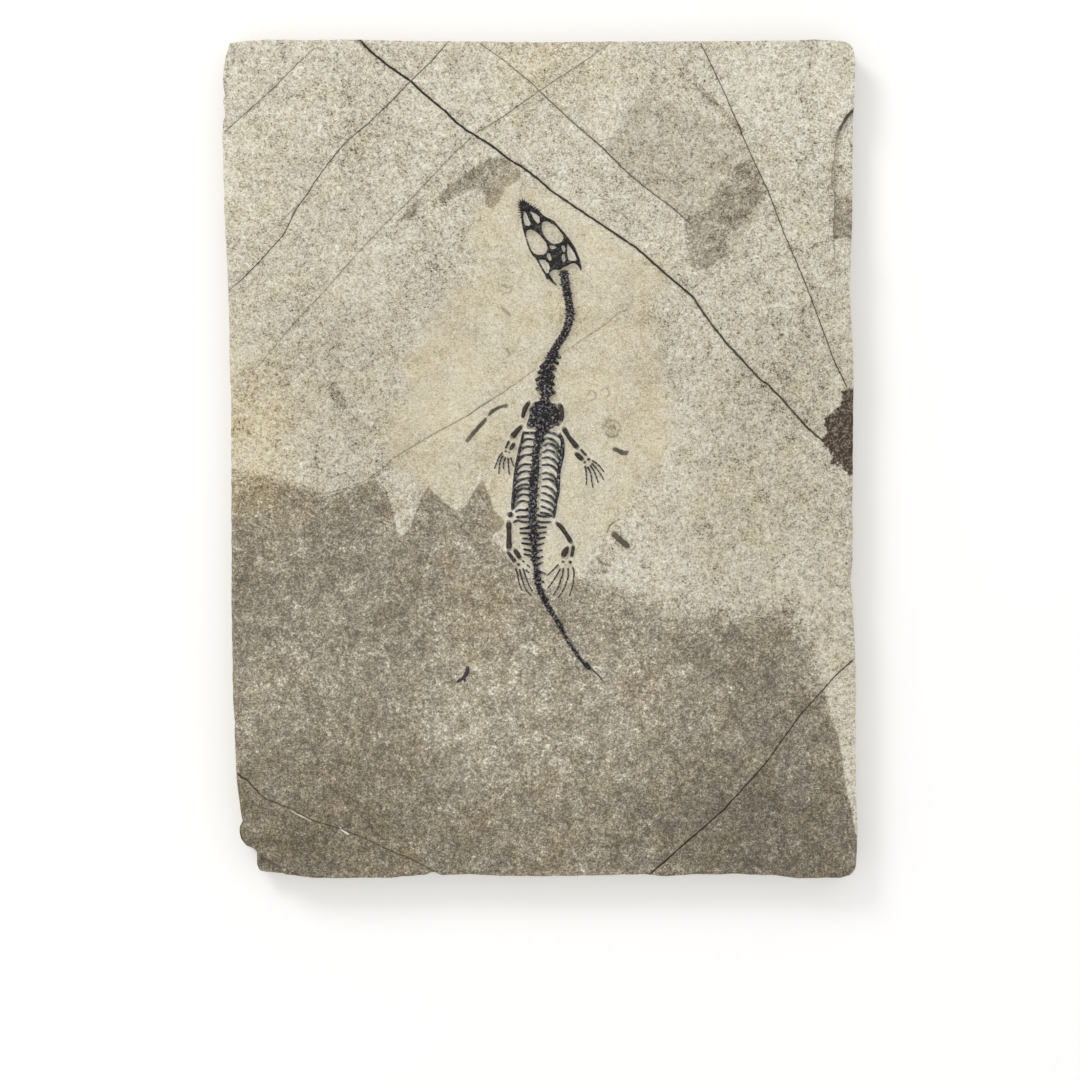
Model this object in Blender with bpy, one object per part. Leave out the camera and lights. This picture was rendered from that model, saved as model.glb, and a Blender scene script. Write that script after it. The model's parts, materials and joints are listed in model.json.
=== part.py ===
"""Small fossil marine reptile lying on its back-split slab of bedded limestone.

The slab lies flat with the skeleton on its upper face. +X is to the right and +Y towards
the snout, as one looks down on the fossil, and +Z is up. The origin is the middle of the
slab's box on the face it rests on. Plan coordinates in the lists are millimetres on the
slab's face, and place() turns them into metres in that frame.
"""
import math
import random

import bmesh
import bpy
from mathutils import Vector

MM = 0.001

# Driving dimensions, in millimetres
SLAB_THICKNESS = 14.0
BED_GAP = 0.3
EDGE_ROUGHNESS = 0.45
CRACK_DEPTH_RATIO = 1.5
CHIP_DEPTH = 2.4
CORNER_STEP_DEPTH = 4.2
PATCH_DEPTH = 0.8
SKULL_THICKNESS = 0.9
NECK_VERTEBRA = 1.95
TRUNK_VERTEBRA = 2.6
TAIL_VERTEBRA = 1.9
RIB_WIDTH = 1.0
RIB_STEP = 2.2
DIGIT_WIDTH = 0.56
DIGIT_STEP = 1.1
WAIST = 0.72
KNUCKLE = 0.8

# Small height steps between pieces that are joined, in millimetres
SINK_STEP = 0.009
SINK_STRIDE = 7
SINK_CYCLE = 13
CUTTER_LIFT = 0.05
BED_PLANE_SIZE = 400

# Blunt end of a bone, as shares of its width
TIP_LENGTH = 0.175
TIP_WIDTH = 0.55

# Bone heights as a share of half their width: thin bones stand rounder than broad ones
FLAT = 0.6
MEDIUM = 0.85
ROUND = 1.15

# Levels of the broken edge: height as a share of the thickness, inset in millimetres
EDGE_LEVELS = [(0.0, 1.5), (0.3, 0.5), (0.34, 1.1), (0.68, 1.3), (0.72, 0.5), (0.93, 0.35), (1.0, 0.0)]

SLAB_OUTLINE = [
    (-124.6, 166.6), (-110, 168), (-90, 167.8), (-50, 167.4), (0, 167), (40, 167.2), (80, 167.4),
    (110, 168), (122, 167), (124.4, 165.6), (125.4, 163), (125.8, 158), (125.4, 140), (125, 120),
    (124.8, 95), (123.6, 70), (124.6, 50), (125.2, 27), (125, 10), (124.6, -20), (125, -30),
    (124.8, -40), (124, -50), (124.6, -55), (125.6, -70), (126, -90), (126, -130), (126.4, -140),
    (126.8, -150), (126.4, -161), (126, -164), (124, -166.6), (120, -167.6), (102, -167.8),
    (97, -167), (78, -166), (62, -166.2), (50, -167), (40, -166.2), (20, -166.8), (0, -167),
    (-28, -166.2), (-40, -166.6), (-43, -165.4), (-46, -166.4), (-60, -167.6), (-90, -167.8),
    (-102, -166.4), (-112.4, -165.4), (-114.2, -162.4), (-114, -157), (-118, -154.6),
    (-120.6, -149.6), (-119.6, -145), (-120.4, -140), (-122, -125), (-122.6, -110),
    (-123.8, -70), (-124, -20), (-124, 20), (-125, 60), (-126.8, 100), (-127.6, 134),
    (-126.4, 138), (-127.4, 143), (-126.6, 146), (-127.6, 150), (-127, 156), (-126, 162),
]

# Pieces missing from the upper bed: each outline runs out past the slab's edge
EDGE_CHIP = [
    (127.5, 141), (125.2, 140), (122, 136.4), (119.8, 132.6), (118.2, 128.4), (117.6, 122),
    (116.2, 111), (117.4, 106), (117.6, 100), (117.2, 88), (124.2, 89), (127.5, 90),
]
CORNER_STEP = [
    (-117, -152), (-115.6, -155.6), (-110, -160), (-105.6, -162.6), (-102.4, -166),
    (-102, -170), (-118, -170), (-118, -160),
]
DARK_PATCH = [
    (127.5, 28), (122.6, 28.4), (120.6, 27), (119.4, 21.4), (117, 19.6), (113.4, 16.4),
    (114.6, 10.6), (112, 7.4), (115.4, 3.4), (116, -2), (119, -3), (122.6, -6), (127.5, -7),
]

# Cracks across the upper face: name, width, points
CRACKS = [
    ("crack_main", 0.9, [
        (-73, 169), (-68, 163), (-60, 156.6), (-46, 145.4), (-30, 131.6), (-18, 124), (-6, 115.8),
        (4, 107.4), (26, 92.6), (42, 81.2), (58, 67.2), (64, 60), (74, 46.6), (88, 31.6), (98, 22.2),
        (113, 7)]),
    ("crack_upper_right", 0.6, [
        (62.5, 169), (67, 160), (73, 147.4), (84, 121.6), (97, 91), (108, 64.6), (118, 37.6),
        (122.6, 28.6)]),
    ("crack_upper_left", 0.6, [
        (-35.5, 169), (-44, 158.8), (-52.4, 151), (-68, 135.2), (-80, 124.6), (-90, 111.6),
        (-97.6, 100.6), (-102.6, 90.2), (-111, 80.7), (-119.4, 72), (-127.5, 65)]),
    ("crack_corner_left", 0.4, [(-129.5, 128), (-114, 142), (-108, 147.4), (-98, 157.6), (-91, 164)]),
    ("crack_left_diagonal", 0.4, [
        (-27, 129.6), (-44, 112.4), (-62, 94.4), (-78, 77), (-88, 65.6), (-100, 53)]),
    ("crack_top", 0.4, [(30, 169), (18, 159.4), (0, 147.6), (-18, 135), (-26, 130.4)]),
    ("crack_top_cross", 0.5, [
        (-28, 169), (-16, 160.4), (-4, 150.6), (12, 135.4), (24, 125), (42, 108.4), (60, 94)]),
    ("crack_lower_right", 0.6, [
        (41, -169), (50, -160.6), (66, -146.6), (82, -130.6), (104, -102), (118, -86.4), (128, -77.6)]),
    ("crack_behind_neck", 0.35, [
        (-78, -11.6), (-64, -4.6), (-52, 4.6), (-30, 17), (-14, 27.4), (-4, 34.6)]),
    ("crack_lower_left", 0.8, [
        (-125, -124), (-117.4, -128.4), (-110, -136), (-92, -144.4), (-70, -152), (-50, -161),
        (-42, -168)]),
]

# Skull seen from above: outline and the openings through it
SKULL_OUTLINE = [
    (-8.6, 102.6), (-7.6, 103.4), (-6.2, 102.6), (-4.4, 101.5), (-2.6, 100.4), (-0.6, 98.8),
    (1.6, 97.1), (3.8, 96.1), (5.2, 95.2), (7, 93.2), (8.4, 91.6), (9.8, 90), (11.2, 88.2),
    (12.6, 86.2), (13.8, 84.2), (14.8, 81.6), (15.6, 79.8), (15.9, 77.8), (16.3, 76.2), (16.1, 74.8),
    (15.4, 76.3), (14.6, 77.6), (13.4, 78.4), (12, 78.1), (10.4, 77.2), (8.8, 76.6), (7.4, 75.6),
    (5.4, 75.8), (4.2, 75.1), (3.3, 74), (4.3, 72.6), (5.2, 71), (6.6, 69.4), (5.4, 69.8), (4, 70.8),
    (3, 72.1), (2.2, 71.2), (1.8, 73), (0.9, 74.8), (-0.6, 77.2), (-2.2, 80.2), (-3.8, 81.9),
    (-4.8, 83.8), (-5.7, 86.4), (-6.6, 89.4), (-7.4, 92), (-7.8, 95.2), (-7.9, 98.4), (-8.5, 100.4),
]
SKULL_OPENINGS = {
    "eye_right": [
        (0.6, 94.8), (2.2, 95.2), (3.8, 94.5), (5.8, 93.2), (7.2, 91.6), (8.6, 89.8), (9, 88.4),
        (8.3, 87), (7, 86.2), (5.4, 85.9), (3.9, 86.6), (2.4, 88), (1, 89.8), (0.3, 91.6), (0.2, 93.4)],
    "eye_left": [
        (-5.4, 91.6), (-4, 91.8), (-2.4, 91.1), (-0.7, 89.8), (0.8, 88), (2, 86.4), (2.6, 84.6),
        (2.2, 82.8), (1, 81.8), (-0.8, 81.7), (-2.8, 82.2), (-4, 83.6), (-5, 86.2), (-5.8, 88.6),
        (-6, 90.4)],
    "nostril_right": [(-4.8, 99.6), (-2, 98), (-0.6, 96.8), (-0.5, 94.6), (-1.4, 94.1), (-2.9, 96)],
    "nostril_left": [(-6.9, 99.2), (-6.1, 98.8), (-4, 93.8), (-5.1, 93.3), (-6.4, 93.5), (-7.1, 96.4)],
    "temple_right": [(10.6, 85.2), (12, 83.4), (13.7, 80.9), (12.6, 80.3), (11, 80.6), (10.4, 83)],
    "temple_left": [
        (-1, 79.7), (1.6, 79.6), (2.9, 78.3), (3.5, 76.4), (3, 74.4), (2.2, 74.3), (0.9, 76.1)],
    "window_upper": [(8.3, 86.1), (9.2, 85.9), (9.2, 84.4), (8.5, 83.4), (8, 84.6)],
    "window_lower": [(8.5, 80.7), (9.4, 80.6), (9.5, 78.9), (8.7, 78.6)],
    "slot_left": [(2.7, 82), (3.5, 81.6), (3.8, 79.4), (3.2, 78.9), (2.2, 80.6)],
}
SKULL_RIDGES = [
    (1.5, [(-7.4, 102), (-5.4, 98.6), (-3, 94.4), (-0.2, 92), (1.6, 88.6), (3, 85.4)]),
    (1.1, [(-8, 100.6), (-7.4, 93), (-6.2, 88.6), (-4.2, 83), (-1.6, 80), (0.7, 76), (2.4, 72.6)]),
    (1.3, [(-6.4, 101.8), (-0.2, 97.4), (4.6, 94.8), (9.4, 89.6), (12.6, 85), (15, 80), (15.9, 76.4)]),
    (1.2, [(9.6, 87.6), (9.8, 82), (10.4, 79.2), (14.6, 79.2)]),
    (4.6, [(5.9, 83.6), (5.9, 80.6), (6.4, 77.4)]),
]
TEETH = [
    (-8.9, 103.1), (-9, 101.5), (-8.9, 99.8), (-8.6, 97.8), (-7.8, 104), (-6.2, 103.5),
    (-4.5, 102), (-2.5, 100.9),
]
TOOTH_WIDTH = 0.8
TOOTH_ROOT_DEPTH = 0.3
SNOUT_MIDDLE = (-5.6, 99.2)

NECK_PATH = [
    (9.2, 74.2), (9.8, 70), (10.9, 64), (11.6, 58), (10.9, 54), (9.4, 50), (6.8, 46), (4.6, 42),
    (3, 38), (2.4, 32), (2.2, 28), (2.1, 26.1),
]
NECK_WIDTHS = (3.6, 3.0, 3.3, 4.6)
NECK_RIBS = [
    ((2.4, 38.8), (-0.6, 37)), ((2.2, 36.4), (-1.5, 34.8)), ((2, 34), (-2.5, 31.8)),
    ((2, 31.2), (-2, 30.2)), ((1.8, 29.2), (-2.2, 28.3)), ((4.6, 40.2), (7.2, 38.4)),
    ((5.6, 42.4), (8, 40.8)), ((3.6, 37.6), (6.2, 36.2)), ((3, 35), (5.5, 33)),
    ((3, 31.6), (5.5, 30)), ((2.8, 28.8), (6, 26.6)),
]

TRUNK_PATH = [
    (1.5, 23.9), (0.6, 20), (0, 15), (-0.8, 9), (-2, 3), (-2.2, -3), (-2.8, -9), (-3.2, -15),
    (-3.4, -20), (-3.3, -25),
]
TRUNK_WIDTHS = (4.6, 4.2, 4.6)
SPINE_MIDDLE_X = -2.2
RIB_ROOT_DEPTH = 0.55
SHOULDER_LUMPS = [
    (3.2, [(-4.4, 13), (-3.4, 16.4), (-1.8, 20)]), (2.2, [(0, 22.4), (-2.6, 21.8)]),
    (2.2, [(1, 21.2), (5.6, 21.2)]), (2.6, [(1.5, 18), (5.7, 17.6)]), (1.5, [(1, 15.6), (7.1, 13.8)]),
    (1.4, [(1, 12.2), (4.8, 13)]), (1.3, [(-0.5, 10.4), (-6.6, 10.4)]),
]
RIBS_RIGHT = [
    ((1.5, 10.4), (3.5, 10.6), (8.2, 8)), ((1.6, 7.8), (3.4, 8.2), (8, 3)),
    ((1.6, 5.4), (3.2, 6.2), (7.4, 2.2)), ((1.2, 2.7), (3, 3.6), (7.8, -0.8)),
    ((1.2, 0.4), (3, 0.6), (7.4, -3.4)), ((1, -2.4), (3.4, -2.4), (7, -5.8)),
    ((1, -5.8), (2.6, -5.6), (7, -10.2)), ((1.2, -8.2), (3, -8), (7, -12.4)),
    ((0.8, -11), (2.6, -11.2), (6.6, -15.8)), ((0.8, -13.6), (2.4, -14.2), (6.2, -18.4)),
    ((0.4, -16.4), (1.8, -16.8), (5.9, -20.2)), ((0.4, -19), (2.4, -19.8), (5.2, -22)),
    ((0, -21.4), (2, -21.8), (4.6, -23.2)),
]
RIBS_LEFT = [
    ((-3.5, 7.8), (-5.4, 8), (-7.6, 6.2)), ((-4, 4.8), (-5.6, 5), (-8.2, 3.2)),
    ((-4, 1.6), (-6, 1.6), (-9.2, -1.2)), ((-4.6, -2.2), (-7, -2.2), (-9.8, -4.8)),
    ((-4.8, -5), (-7, -5), (-10.2, -7.8)), ((-4.8, -7.6), (-7, -8), (-10.6, -10.4)),
    ((-5, -10.4), (-7, -10.2), (-10.9, -13.4)), ((-5.4, -12), (-7.4, -11.9), (-11.1, -15.8)),
    ((-5.6, -14.4), (-7.4, -14.2), (-11.3, -18)), ((-5.6, -17.2), (-7.6, -16.8), (-11.4, -20.2)),
    ((-5, -20.6), (-8.2, -20.4), (-10.2, -21.1)),
]
FLANK_RIGHT = [
    (7.6, 10), (8.6, 6.6), (8.5, 2), (7.8, -1.6), (7.1, -6), (6.9, -13), (6.1, -17), (5.2, -23.4),
]
FLANK_RIGHT_WIDTHS = (1.3, 1.8, 1.4, 1.2, 1.1)
FLANK_LEFT = [(-6.9, 11), (-7.6, 8), (-8.9, 2), (-10, -4), (-10.7, -10), (-11.3, -16), (-11.6, -20.3)]
FLANK_LEFT_WIDTHS = (1.0, 1.3, 1.0)
SACRAL_BARS = [
    (1.1, [(-3.4, -22.9), (-6.8, -23.1), (-9.8, -23.2)]),
    (0.9, [(-3.4, -25), (-6.8, -25.2), (-9.4, -24.6), (-11, -25.4)]),
    (1.0, [(-3.2, -22), (0.6, -23), (3.4, -23)]),
    (0.9, [(-3.2, -24.6), (0.6, -25.3), (4, -25.2)]),
]

TAIL_PATH = [
    (-3, -26.6), (-2.8, -31), (-2.6, -40), (-1.8, -44.5), (-1.2, -50), (0.8, -55), (3, -59.4),
    (6, -64), (8.6, -68.6), (10.6, -72.4), (13.2, -76.6), (15.4, -79.6), (17.8, -82), (20.6, -84.4),
    (23, -86.6), (25.6, -90),
]
TAIL_WIDTHS = (3.6, 3.2, 2.7, 2.7, 2.9, 2.6, 2.3, 1.7, 1.7, 1.7, 0.9, 0.5)
TAIL_BARS = [
    ((-2.9, -27.4), (-8.6, -27.9)), ((-2.9, -29.8), (-8.6, -29.6)), ((-2.8, -32), (-7.6, -31.8)),
    ((-2.7, -34.4), (-7.9, -33.6)), ((-2.6, -37), (-7.1, -36)), ((-2.6, -39), (-7, -38)),
    ((-2.9, -27.6), (2.4, -27.3)), ((-2.8, -30), (2.2, -29.2)), ((-2.7, -32.4), (1.8, -31.3)),
    ((-2.6, -35), (1.3, -33.6)), ((-2.6, -37.8), (0.6, -36.3)), ((-2.6, -40.2), (0.9, -39)),
    ((-2.4, -42.6), (0.9, -41.2)), ((-1.7, -44.6), (1.8, -46)), ((-1.3, -48), (1.4, -49.5)),
]

# Single bones: name, roundness, widths along the bone, points
SINGLE_BONES = [
    ("shoulder_blade_left", MEDIUM, (1.4, 1.9, 1.3), [(-4.8, 22.8), (-6.4, 20), (-7.3, 16.6)]),
    ("shoulder_blade_right", FLAT, (1.6, 2.2, 2.4, 1.8), [
        (7.6, 21.8), (8, 20), (8.1, 17.6), (7.9, 15.2)]),
    ("humerus_left", MEDIUM, (1.5, 1.9, 2.3), [(-7.8, 13.1), (-9.6, 11.2), (-11.4, 8.9)]),
    ("humerus_right", MEDIUM, (2.1, 1.6, 1.8, 2.2), [(9.2, 12.1), (11, 9), (13, 6.4), (14.4, 4.7)]),
    ("radius_left", ROUND, (1.0, 0.7, 0.9), [(-12.9, 7.1), (-13.6, 5.6), (-14.1, 4.4)]),
    ("ulna_left", MEDIUM, (1.4, 1.6, 1.1), [(-10.8, 6.2), (-11.4, 5), (-12.4, 3.9)]),
    ("radius_right", ROUND, (0.9, 0.8, 0.9), [(16, 3.8), (17, 2.6), (18.1, 1.5)]),
    ("ulna_right", MEDIUM, (1.5, 2.0, 1.7), [(13.9, 2.2), (15.2, 1), (16.6, -0.2)]),
    ("wrist_bone_left_1", ROUND, (0.8, 0.8), [(-14.4, 3.2), (-13.9, 3)]),
    ("wrist_bone_left_2", ROUND, (0.8, 0.8), [(-12.9, 2.6), (-12.5, 2.6)]),
    ("wrist_bone_right_1", ROUND, (1.1, 1.0), [(18.6, -0.3), (19.4, 0.1)]),
    ("wrist_bone_right_2", ROUND, (0.9, 0.8), [(17.2, -1.4), (17.8, -1.3)]),
    ("hip_bone_left", FLAT, (1.7, 2.1, 1.8), [(-13, -22.1), (-12.2, -22.3), (-11.5, -22.5)]),
    ("thigh_bone_left", MEDIUM, (2.1, 1.8, 1.9, 2.3), [
        (-12.9, -25.4), (-12.8, -29), (-12.8, -32), (-12.8, -35.7)]),
    ("thigh_bone_right", MEDIUM, (1.5, 1.8, 1.6, 1.8), [(6.2, -25.6), (8, -27.2), (10, -30), (12, -33.2)]),
    ("shin_bone_left", MEDIUM, (1.5, 1.8, 1.6), [(-10.5, -36.3), (-9.4, -38), (-8.4, -39.6)]),
    ("calf_bone_left", MEDIUM, (1.3, 1.3, 1.6), [(-13.3, -37.3), (-11.8, -39.2), (-10.5, -40.9)]),
    ("shin_bone_right", FLAT, (1.2, 2.3, 1.9), [(10.7, -35.2), (9.6, -37.2), (8.8, -38.9)]),
    ("calf_bone_right", MEDIUM, (1.5, 1.2, 1.4), [(12.9, -34.9), (12.7, -37), (12.2, -38.9)]),
    ("ankle_bone_left_1", ROUND, (1.0, 1.2), [(-9.5, -42.1), (-8.6, -42.3)]),
    ("ankle_bone_left_2", ROUND, (0.7, 0.7), [(-7.4, -40.7), (-6.7, -41.2)]),
    ("ankle_bone_right_1", ROUND, (1.2, 1.1), [(8.6, -41), (9, -41.1)]),
    ("ankle_bone_right_2", ROUND, (1.4, 1.3), [(11.3, -41.2), (12, -41.3)]),
]
FLAKE = [(-29.3, -83.2), (-29.8, -85.6), (-31.2, -87.6), (-33.6, -89.2)]
FLAKE_WIDTHS = (1.4, 1.9, 1.4, 0.9)

# Finger and toe bones, counted from the outer side of each hand and foot
DIGITS = {
    "finger_left": [
        [(-15.4, 2.6), (-17, 0.4), (-18.6, -3.9)],
        [(-15.1, 1.3), (-16.4, -1.2), (-16.9, -6)],
        [(-14.2, 0.7), (-15, -2), (-14.9, -4.1)],
        [(-13.2, 0.4), (-13, -3.2), (-12.7, -6.1)],
        [(-12.1, 0.6), (-11.5, -1.4), (-11, -2.8)],
    ],
    "finger_right": [
        [(20.5, -0.6), (23, -2.4), (25.2, -5.2)],
        [(20.2, -1.7), (22.2, -3.8), (24.6, -7.4), (24.8, -8.4)],
        [(19.6, -2.5), (21.2, -4.9), (22.6, -8.6), (22.8, -9.6)],
        [(18.6, -3.1), (19.8, -5.6), (20.4, -9.6), (20.8, -11.4)],
        [(17.5, -2.7), (18, -5), (18.2, -8.6), (18, -10.4)],
    ],
    "toe_left": [
        [(-10.2, -43.8), (-9.4, -46), (-9.1, -48), (-8.6, -50), (-7.6, -52.6)],
        [(-8.6, -44), (-7.6, -48), (-6.8, -50.4), (-5.8, -52.6), (-3.8, -54.7)],
        [(-7.2, -43.8), (-5.8, -48), (-4.6, -51), (-3.4, -52.8)],
        [(-6.1, -44.3), (-4.7, -45.6)],
        [(-5.6, -42.3), (-4.4, -43.3)],
    ],
    "toe_right": [
        [(12.6, -43.2), (13.2, -45), (13, -48), (12.7, -50.4), (11.4, -54.8)],
        [(10.8, -43.6), (10.8, -47.2), (10.2, -49), (9.4, -51.4), (8.2, -53.6), (6.8, -55.6)],
        [(8.9, -43.6), (8.6, -46.4), (7.8, -48.4), (7, -51), (4.8, -54.6)],
        [(7.7, -44), (6.8, -45.6), (5.2, -48.2), (4, -50), (2.6, -51.8)],
        [(7, -42.2), (5.2, -44), (3.7, -45.5), (2.6, -46.6)],
    ],
}

# Finishes: base colour and roughness
FINISHES = {
    "limestone": ((0.42, 0.37, 0.28), 0.9),
    "skull_bone": ((0.052, 0.047, 0.043), 0.5),
    "backbone": ((0.07, 0.064, 0.058), 0.55),
    "limb_bone": ((0.11, 0.088, 0.064), 0.6),
    "digit_bone": ((0.06, 0.05, 0.038), 0.6),
    "flake_bone": ((0.09, 0.07, 0.075), 0.6),
}


def middle_of(points):
    """Middle of the box around plan points, in millimetres."""
    xs = [x for x, y in points]
    ys = [y for x, y in points]
    return (min(xs) + max(xs)) / 2, (min(ys) + max(ys)) / 2


ORIGIN = middle_of(SLAB_OUTLINE)
BED = SLAB_THICKNESS + BED_GAP


def place(point, height=0.0):
    """Plan point and height in millimetres as a vector in metres, about the slab's middle."""
    return Vector(((point[0] - ORIGIN[0]) * MM, (point[1] - ORIGIN[1]) * MM, height * MM))


def clear_scene():
    """Remove the objects that the file opened with."""
    for obj in list(bpy.data.objects):
        bpy.data.objects.remove(obj, do_unlink=True)


def make_collection(name):
    """New collection linked under the scene."""
    collection = bpy.data.collections.new(name)
    bpy.context.scene.collection.children.link(collection)
    return collection


def make_material(name):
    """Plain Principled material of one of the finishes."""
    colour, roughness = FINISHES[name]
    material = bpy.data.materials.new(name)
    material.use_nodes = True
    shader = material.node_tree.nodes["Principled BSDF"]
    shader.inputs["Base Color"].default_value = (*colour, 1.0)
    shader.inputs["Roughness"].default_value = roughness
    shader.inputs["Metallic"].default_value = 0.0
    return material


def mesh_object(name, mesh, collection):
    """Object that carries a mesh, linked to a collection."""
    obj = bpy.data.objects.new(name, mesh)
    collection.objects.link(obj)
    return obj


def as_cutter(obj):
    """Show an object as a wire guide that isn't rendered."""
    obj.hide_render = True
    obj.display_type = "WIRE"
    return obj


def settle_mesh(mesh):
    """Weld loose caps and turn all faces outwards."""
    work = bmesh.new()
    work.from_mesh(mesh)
    bmesh.ops.remove_doubles(work, verts=work.verts, dist=0.00001)
    bmesh.ops.recalc_face_normals(work, faces=work.faces)
    work.to_mesh(mesh)
    work.free()


def baked(obj, collection):
    """Turn an evaluated curve or modified object into a plain mesh object of the same name."""
    name = obj.name
    depsgraph = bpy.context.evaluated_depsgraph_get()
    mesh = bpy.data.meshes.new_from_object(obj.evaluated_get(depsgraph))
    matrix = obj.matrix_world.copy()
    bpy.data.objects.remove(obj, do_unlink=True)
    mesh.transform(matrix)
    settle_mesh(mesh)
    mesh.name = name
    return mesh_object(name, mesh, collection)


def smooth_path(points, step):
    """Evenly spaced points, about step millimetres apart, on a smooth curve through points."""
    ends = [points[0]] + list(points) + [points[-1]]
    fine = []
    for a, b, c, d in zip(ends, ends[1:], ends[2:], ends[3:]):
        for part in range(12):
            t = part / 12
            fine.append(tuple(
                0.5 * (2 * q + (r - p) * t + (2 * p - 5 * q + 4 * r - s) * t ** 2
                       + (3 * q - p - 3 * r + s) * t ** 3)
                for p, q, r, s in zip(a, b, c, d)))
    fine.append(points[-1])
    run = [0.0]
    for a, b in zip(fine, fine[1:]):
        run.append(run[-1] + math.dist(a, b))
    count = max(1, round(run[-1] / step))
    result = []
    k = 0
    for i in range(count + 1):
        target = run[-1] * i / count
        while k < len(run) - 2 and run[k + 1] < target:
            k += 1
        share = (target - run[k]) / max(run[k + 1] - run[k], 1e-9)
        result.append(tuple(p + (q - p) * share for p, q in zip(fine[k], fine[k + 1])))
    return result


def spread(values, count):
    """Values interpolated evenly to a longer list."""
    result = []
    for i in range(count):
        position = i / max(count - 1, 1) * (len(values) - 1)
        k = min(int(position), len(values) - 2)
        result.append(values[k] + (values[k + 1] - values[k]) * (position - k))
    return result


def strand(name, points, widths, roundness, collection, sides=6):
    """Bone as a tube along plan points, squashed to lie low on the bed, with blunt ends."""
    start, end = Vector(points[0]), Vector(points[-1])
    start_dir = (start - Vector(points[1])).normalized()
    end_dir = (end - Vector(points[-2])).normalized()
    first = start + start_dir * widths[0] * TIP_LENGTH
    last = end + end_dir * widths[-1] * TIP_LENGTH
    path = [first, *points, last]
    radii = [widths[0] * TIP_WIDTH, *widths, widths[-1] * TIP_WIDTH]
    curve = bpy.data.curves.new(name, "CURVE")
    curve.dimensions = "3D"
    curve.twist_mode = "Z_UP"
    curve.bevel_depth = 0.5 * MM
    curve.bevel_resolution = (sides - 4) // 2
    curve.use_fill_caps = True
    spline = curve.splines.new("POLY")
    spline.points.add(len(path) - 1)
    for point, location, width in zip(spline.points, path, radii):
        point.co = (*place(location), 1.0)
        point.radius = width
    obj = bpy.data.objects.new(name, curve)
    collection.objects.link(obj)
    obj = baked(obj, collection)
    for vert in obj.data.vertices:
        vert.co.z = vert.co.z * roundness + BED * MM
    return obj


def vertebrae(name, points, widths, pitch, roundness, collection):
    """Chain of vertebrae: a tube that swells at each one and narrows between them."""
    path = smooth_path(points, pitch / 2)
    full = spread(widths, len(path))
    shaped = [w if i % 2 else w * WAIST for i, w in enumerate(full)]
    return strand(name, path, shaped, roundness, collection, sides=8)


def join_bones(name, pieces, bed, material, collection):
    """Union of overlapping pieces, cut flat where the bone meets the bed it lies on."""
    body = pieces[0]
    for number, piece in enumerate(pieces[1:]):
        # No two pieces lie at quite the same height, so no edges of theirs coincide
        sink = SINK_STEP * (1 + SINK_STRIDE * number % SINK_CYCLE)
        for vert in piece.data.vertices:
            vert.co.z -= sink * MM
        union = body.modifiers.new("join", "BOOLEAN")
        union.operation = "UNION"
        union.object = piece
    cut = body.modifiers.new("flat underside", "BOOLEAN")
    cut.operation = "DIFFERENCE"
    cut.object = bed
    result = baked(body, collection)
    for piece in pieces[1:]:
        bpy.data.objects.remove(piece, do_unlink=True)
    result.name = name
    result.data.name = name
    result.data.materials.clear()
    result.data.materials.append(material)
    result.data.shade_smooth()
    result.data.set_sharp_from_angle(angle=math.radians(40))
    return result


def prism(name, outlines, low, high, collection):
    """Upright prism from plan outlines; each outline after the first is an opening."""
    curve = bpy.data.curves.new(name, "CURVE")
    curve.dimensions = "2D"
    curve.fill_mode = "BOTH"
    curve.extrude = (high - low) / 2 * MM
    for outline in outlines:
        spline = curve.splines.new("POLY")
        spline.points.add(len(outline) - 1)
        for point, location in zip(spline.points, outline):
            point.co = (*place(location), 1.0)
        spline.use_cyclic_u = True
    obj = bpy.data.objects.new(name, curve)
    obj.location.z = (low + high) / 2 * MM
    collection.objects.link(obj)
    bpy.context.view_layer.update()
    return baked(obj, collection)


def box(name, low, high, size, collection):
    """Wide flat box between two heights, as a cutter."""
    mesh = bpy.data.meshes.new(name)
    work = bmesh.new()
    bmesh.ops.create_cube(work, size=1.0)
    work.to_mesh(mesh)
    work.free()
    obj = mesh_object(name, mesh, collection)
    for vert in mesh.vertices:
        vert.co.x *= size * MM
        vert.co.y *= size * MM
        vert.co.z = (low if vert.co.z < 0 else high) * MM
    return as_cutter(obj)


def inward_normals(outline):
    """Unit vectors from each outline point towards the stone, smoothed over its neighbours."""
    count = len(outline)
    result = []
    for i in range(count):
        before = Vector(outline[i - 2])
        after = Vector(outline[(i + 2) % count])
        along = (after - before).normalized()
        result.append(Vector((along.y, -along.x)))
    return result


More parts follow.
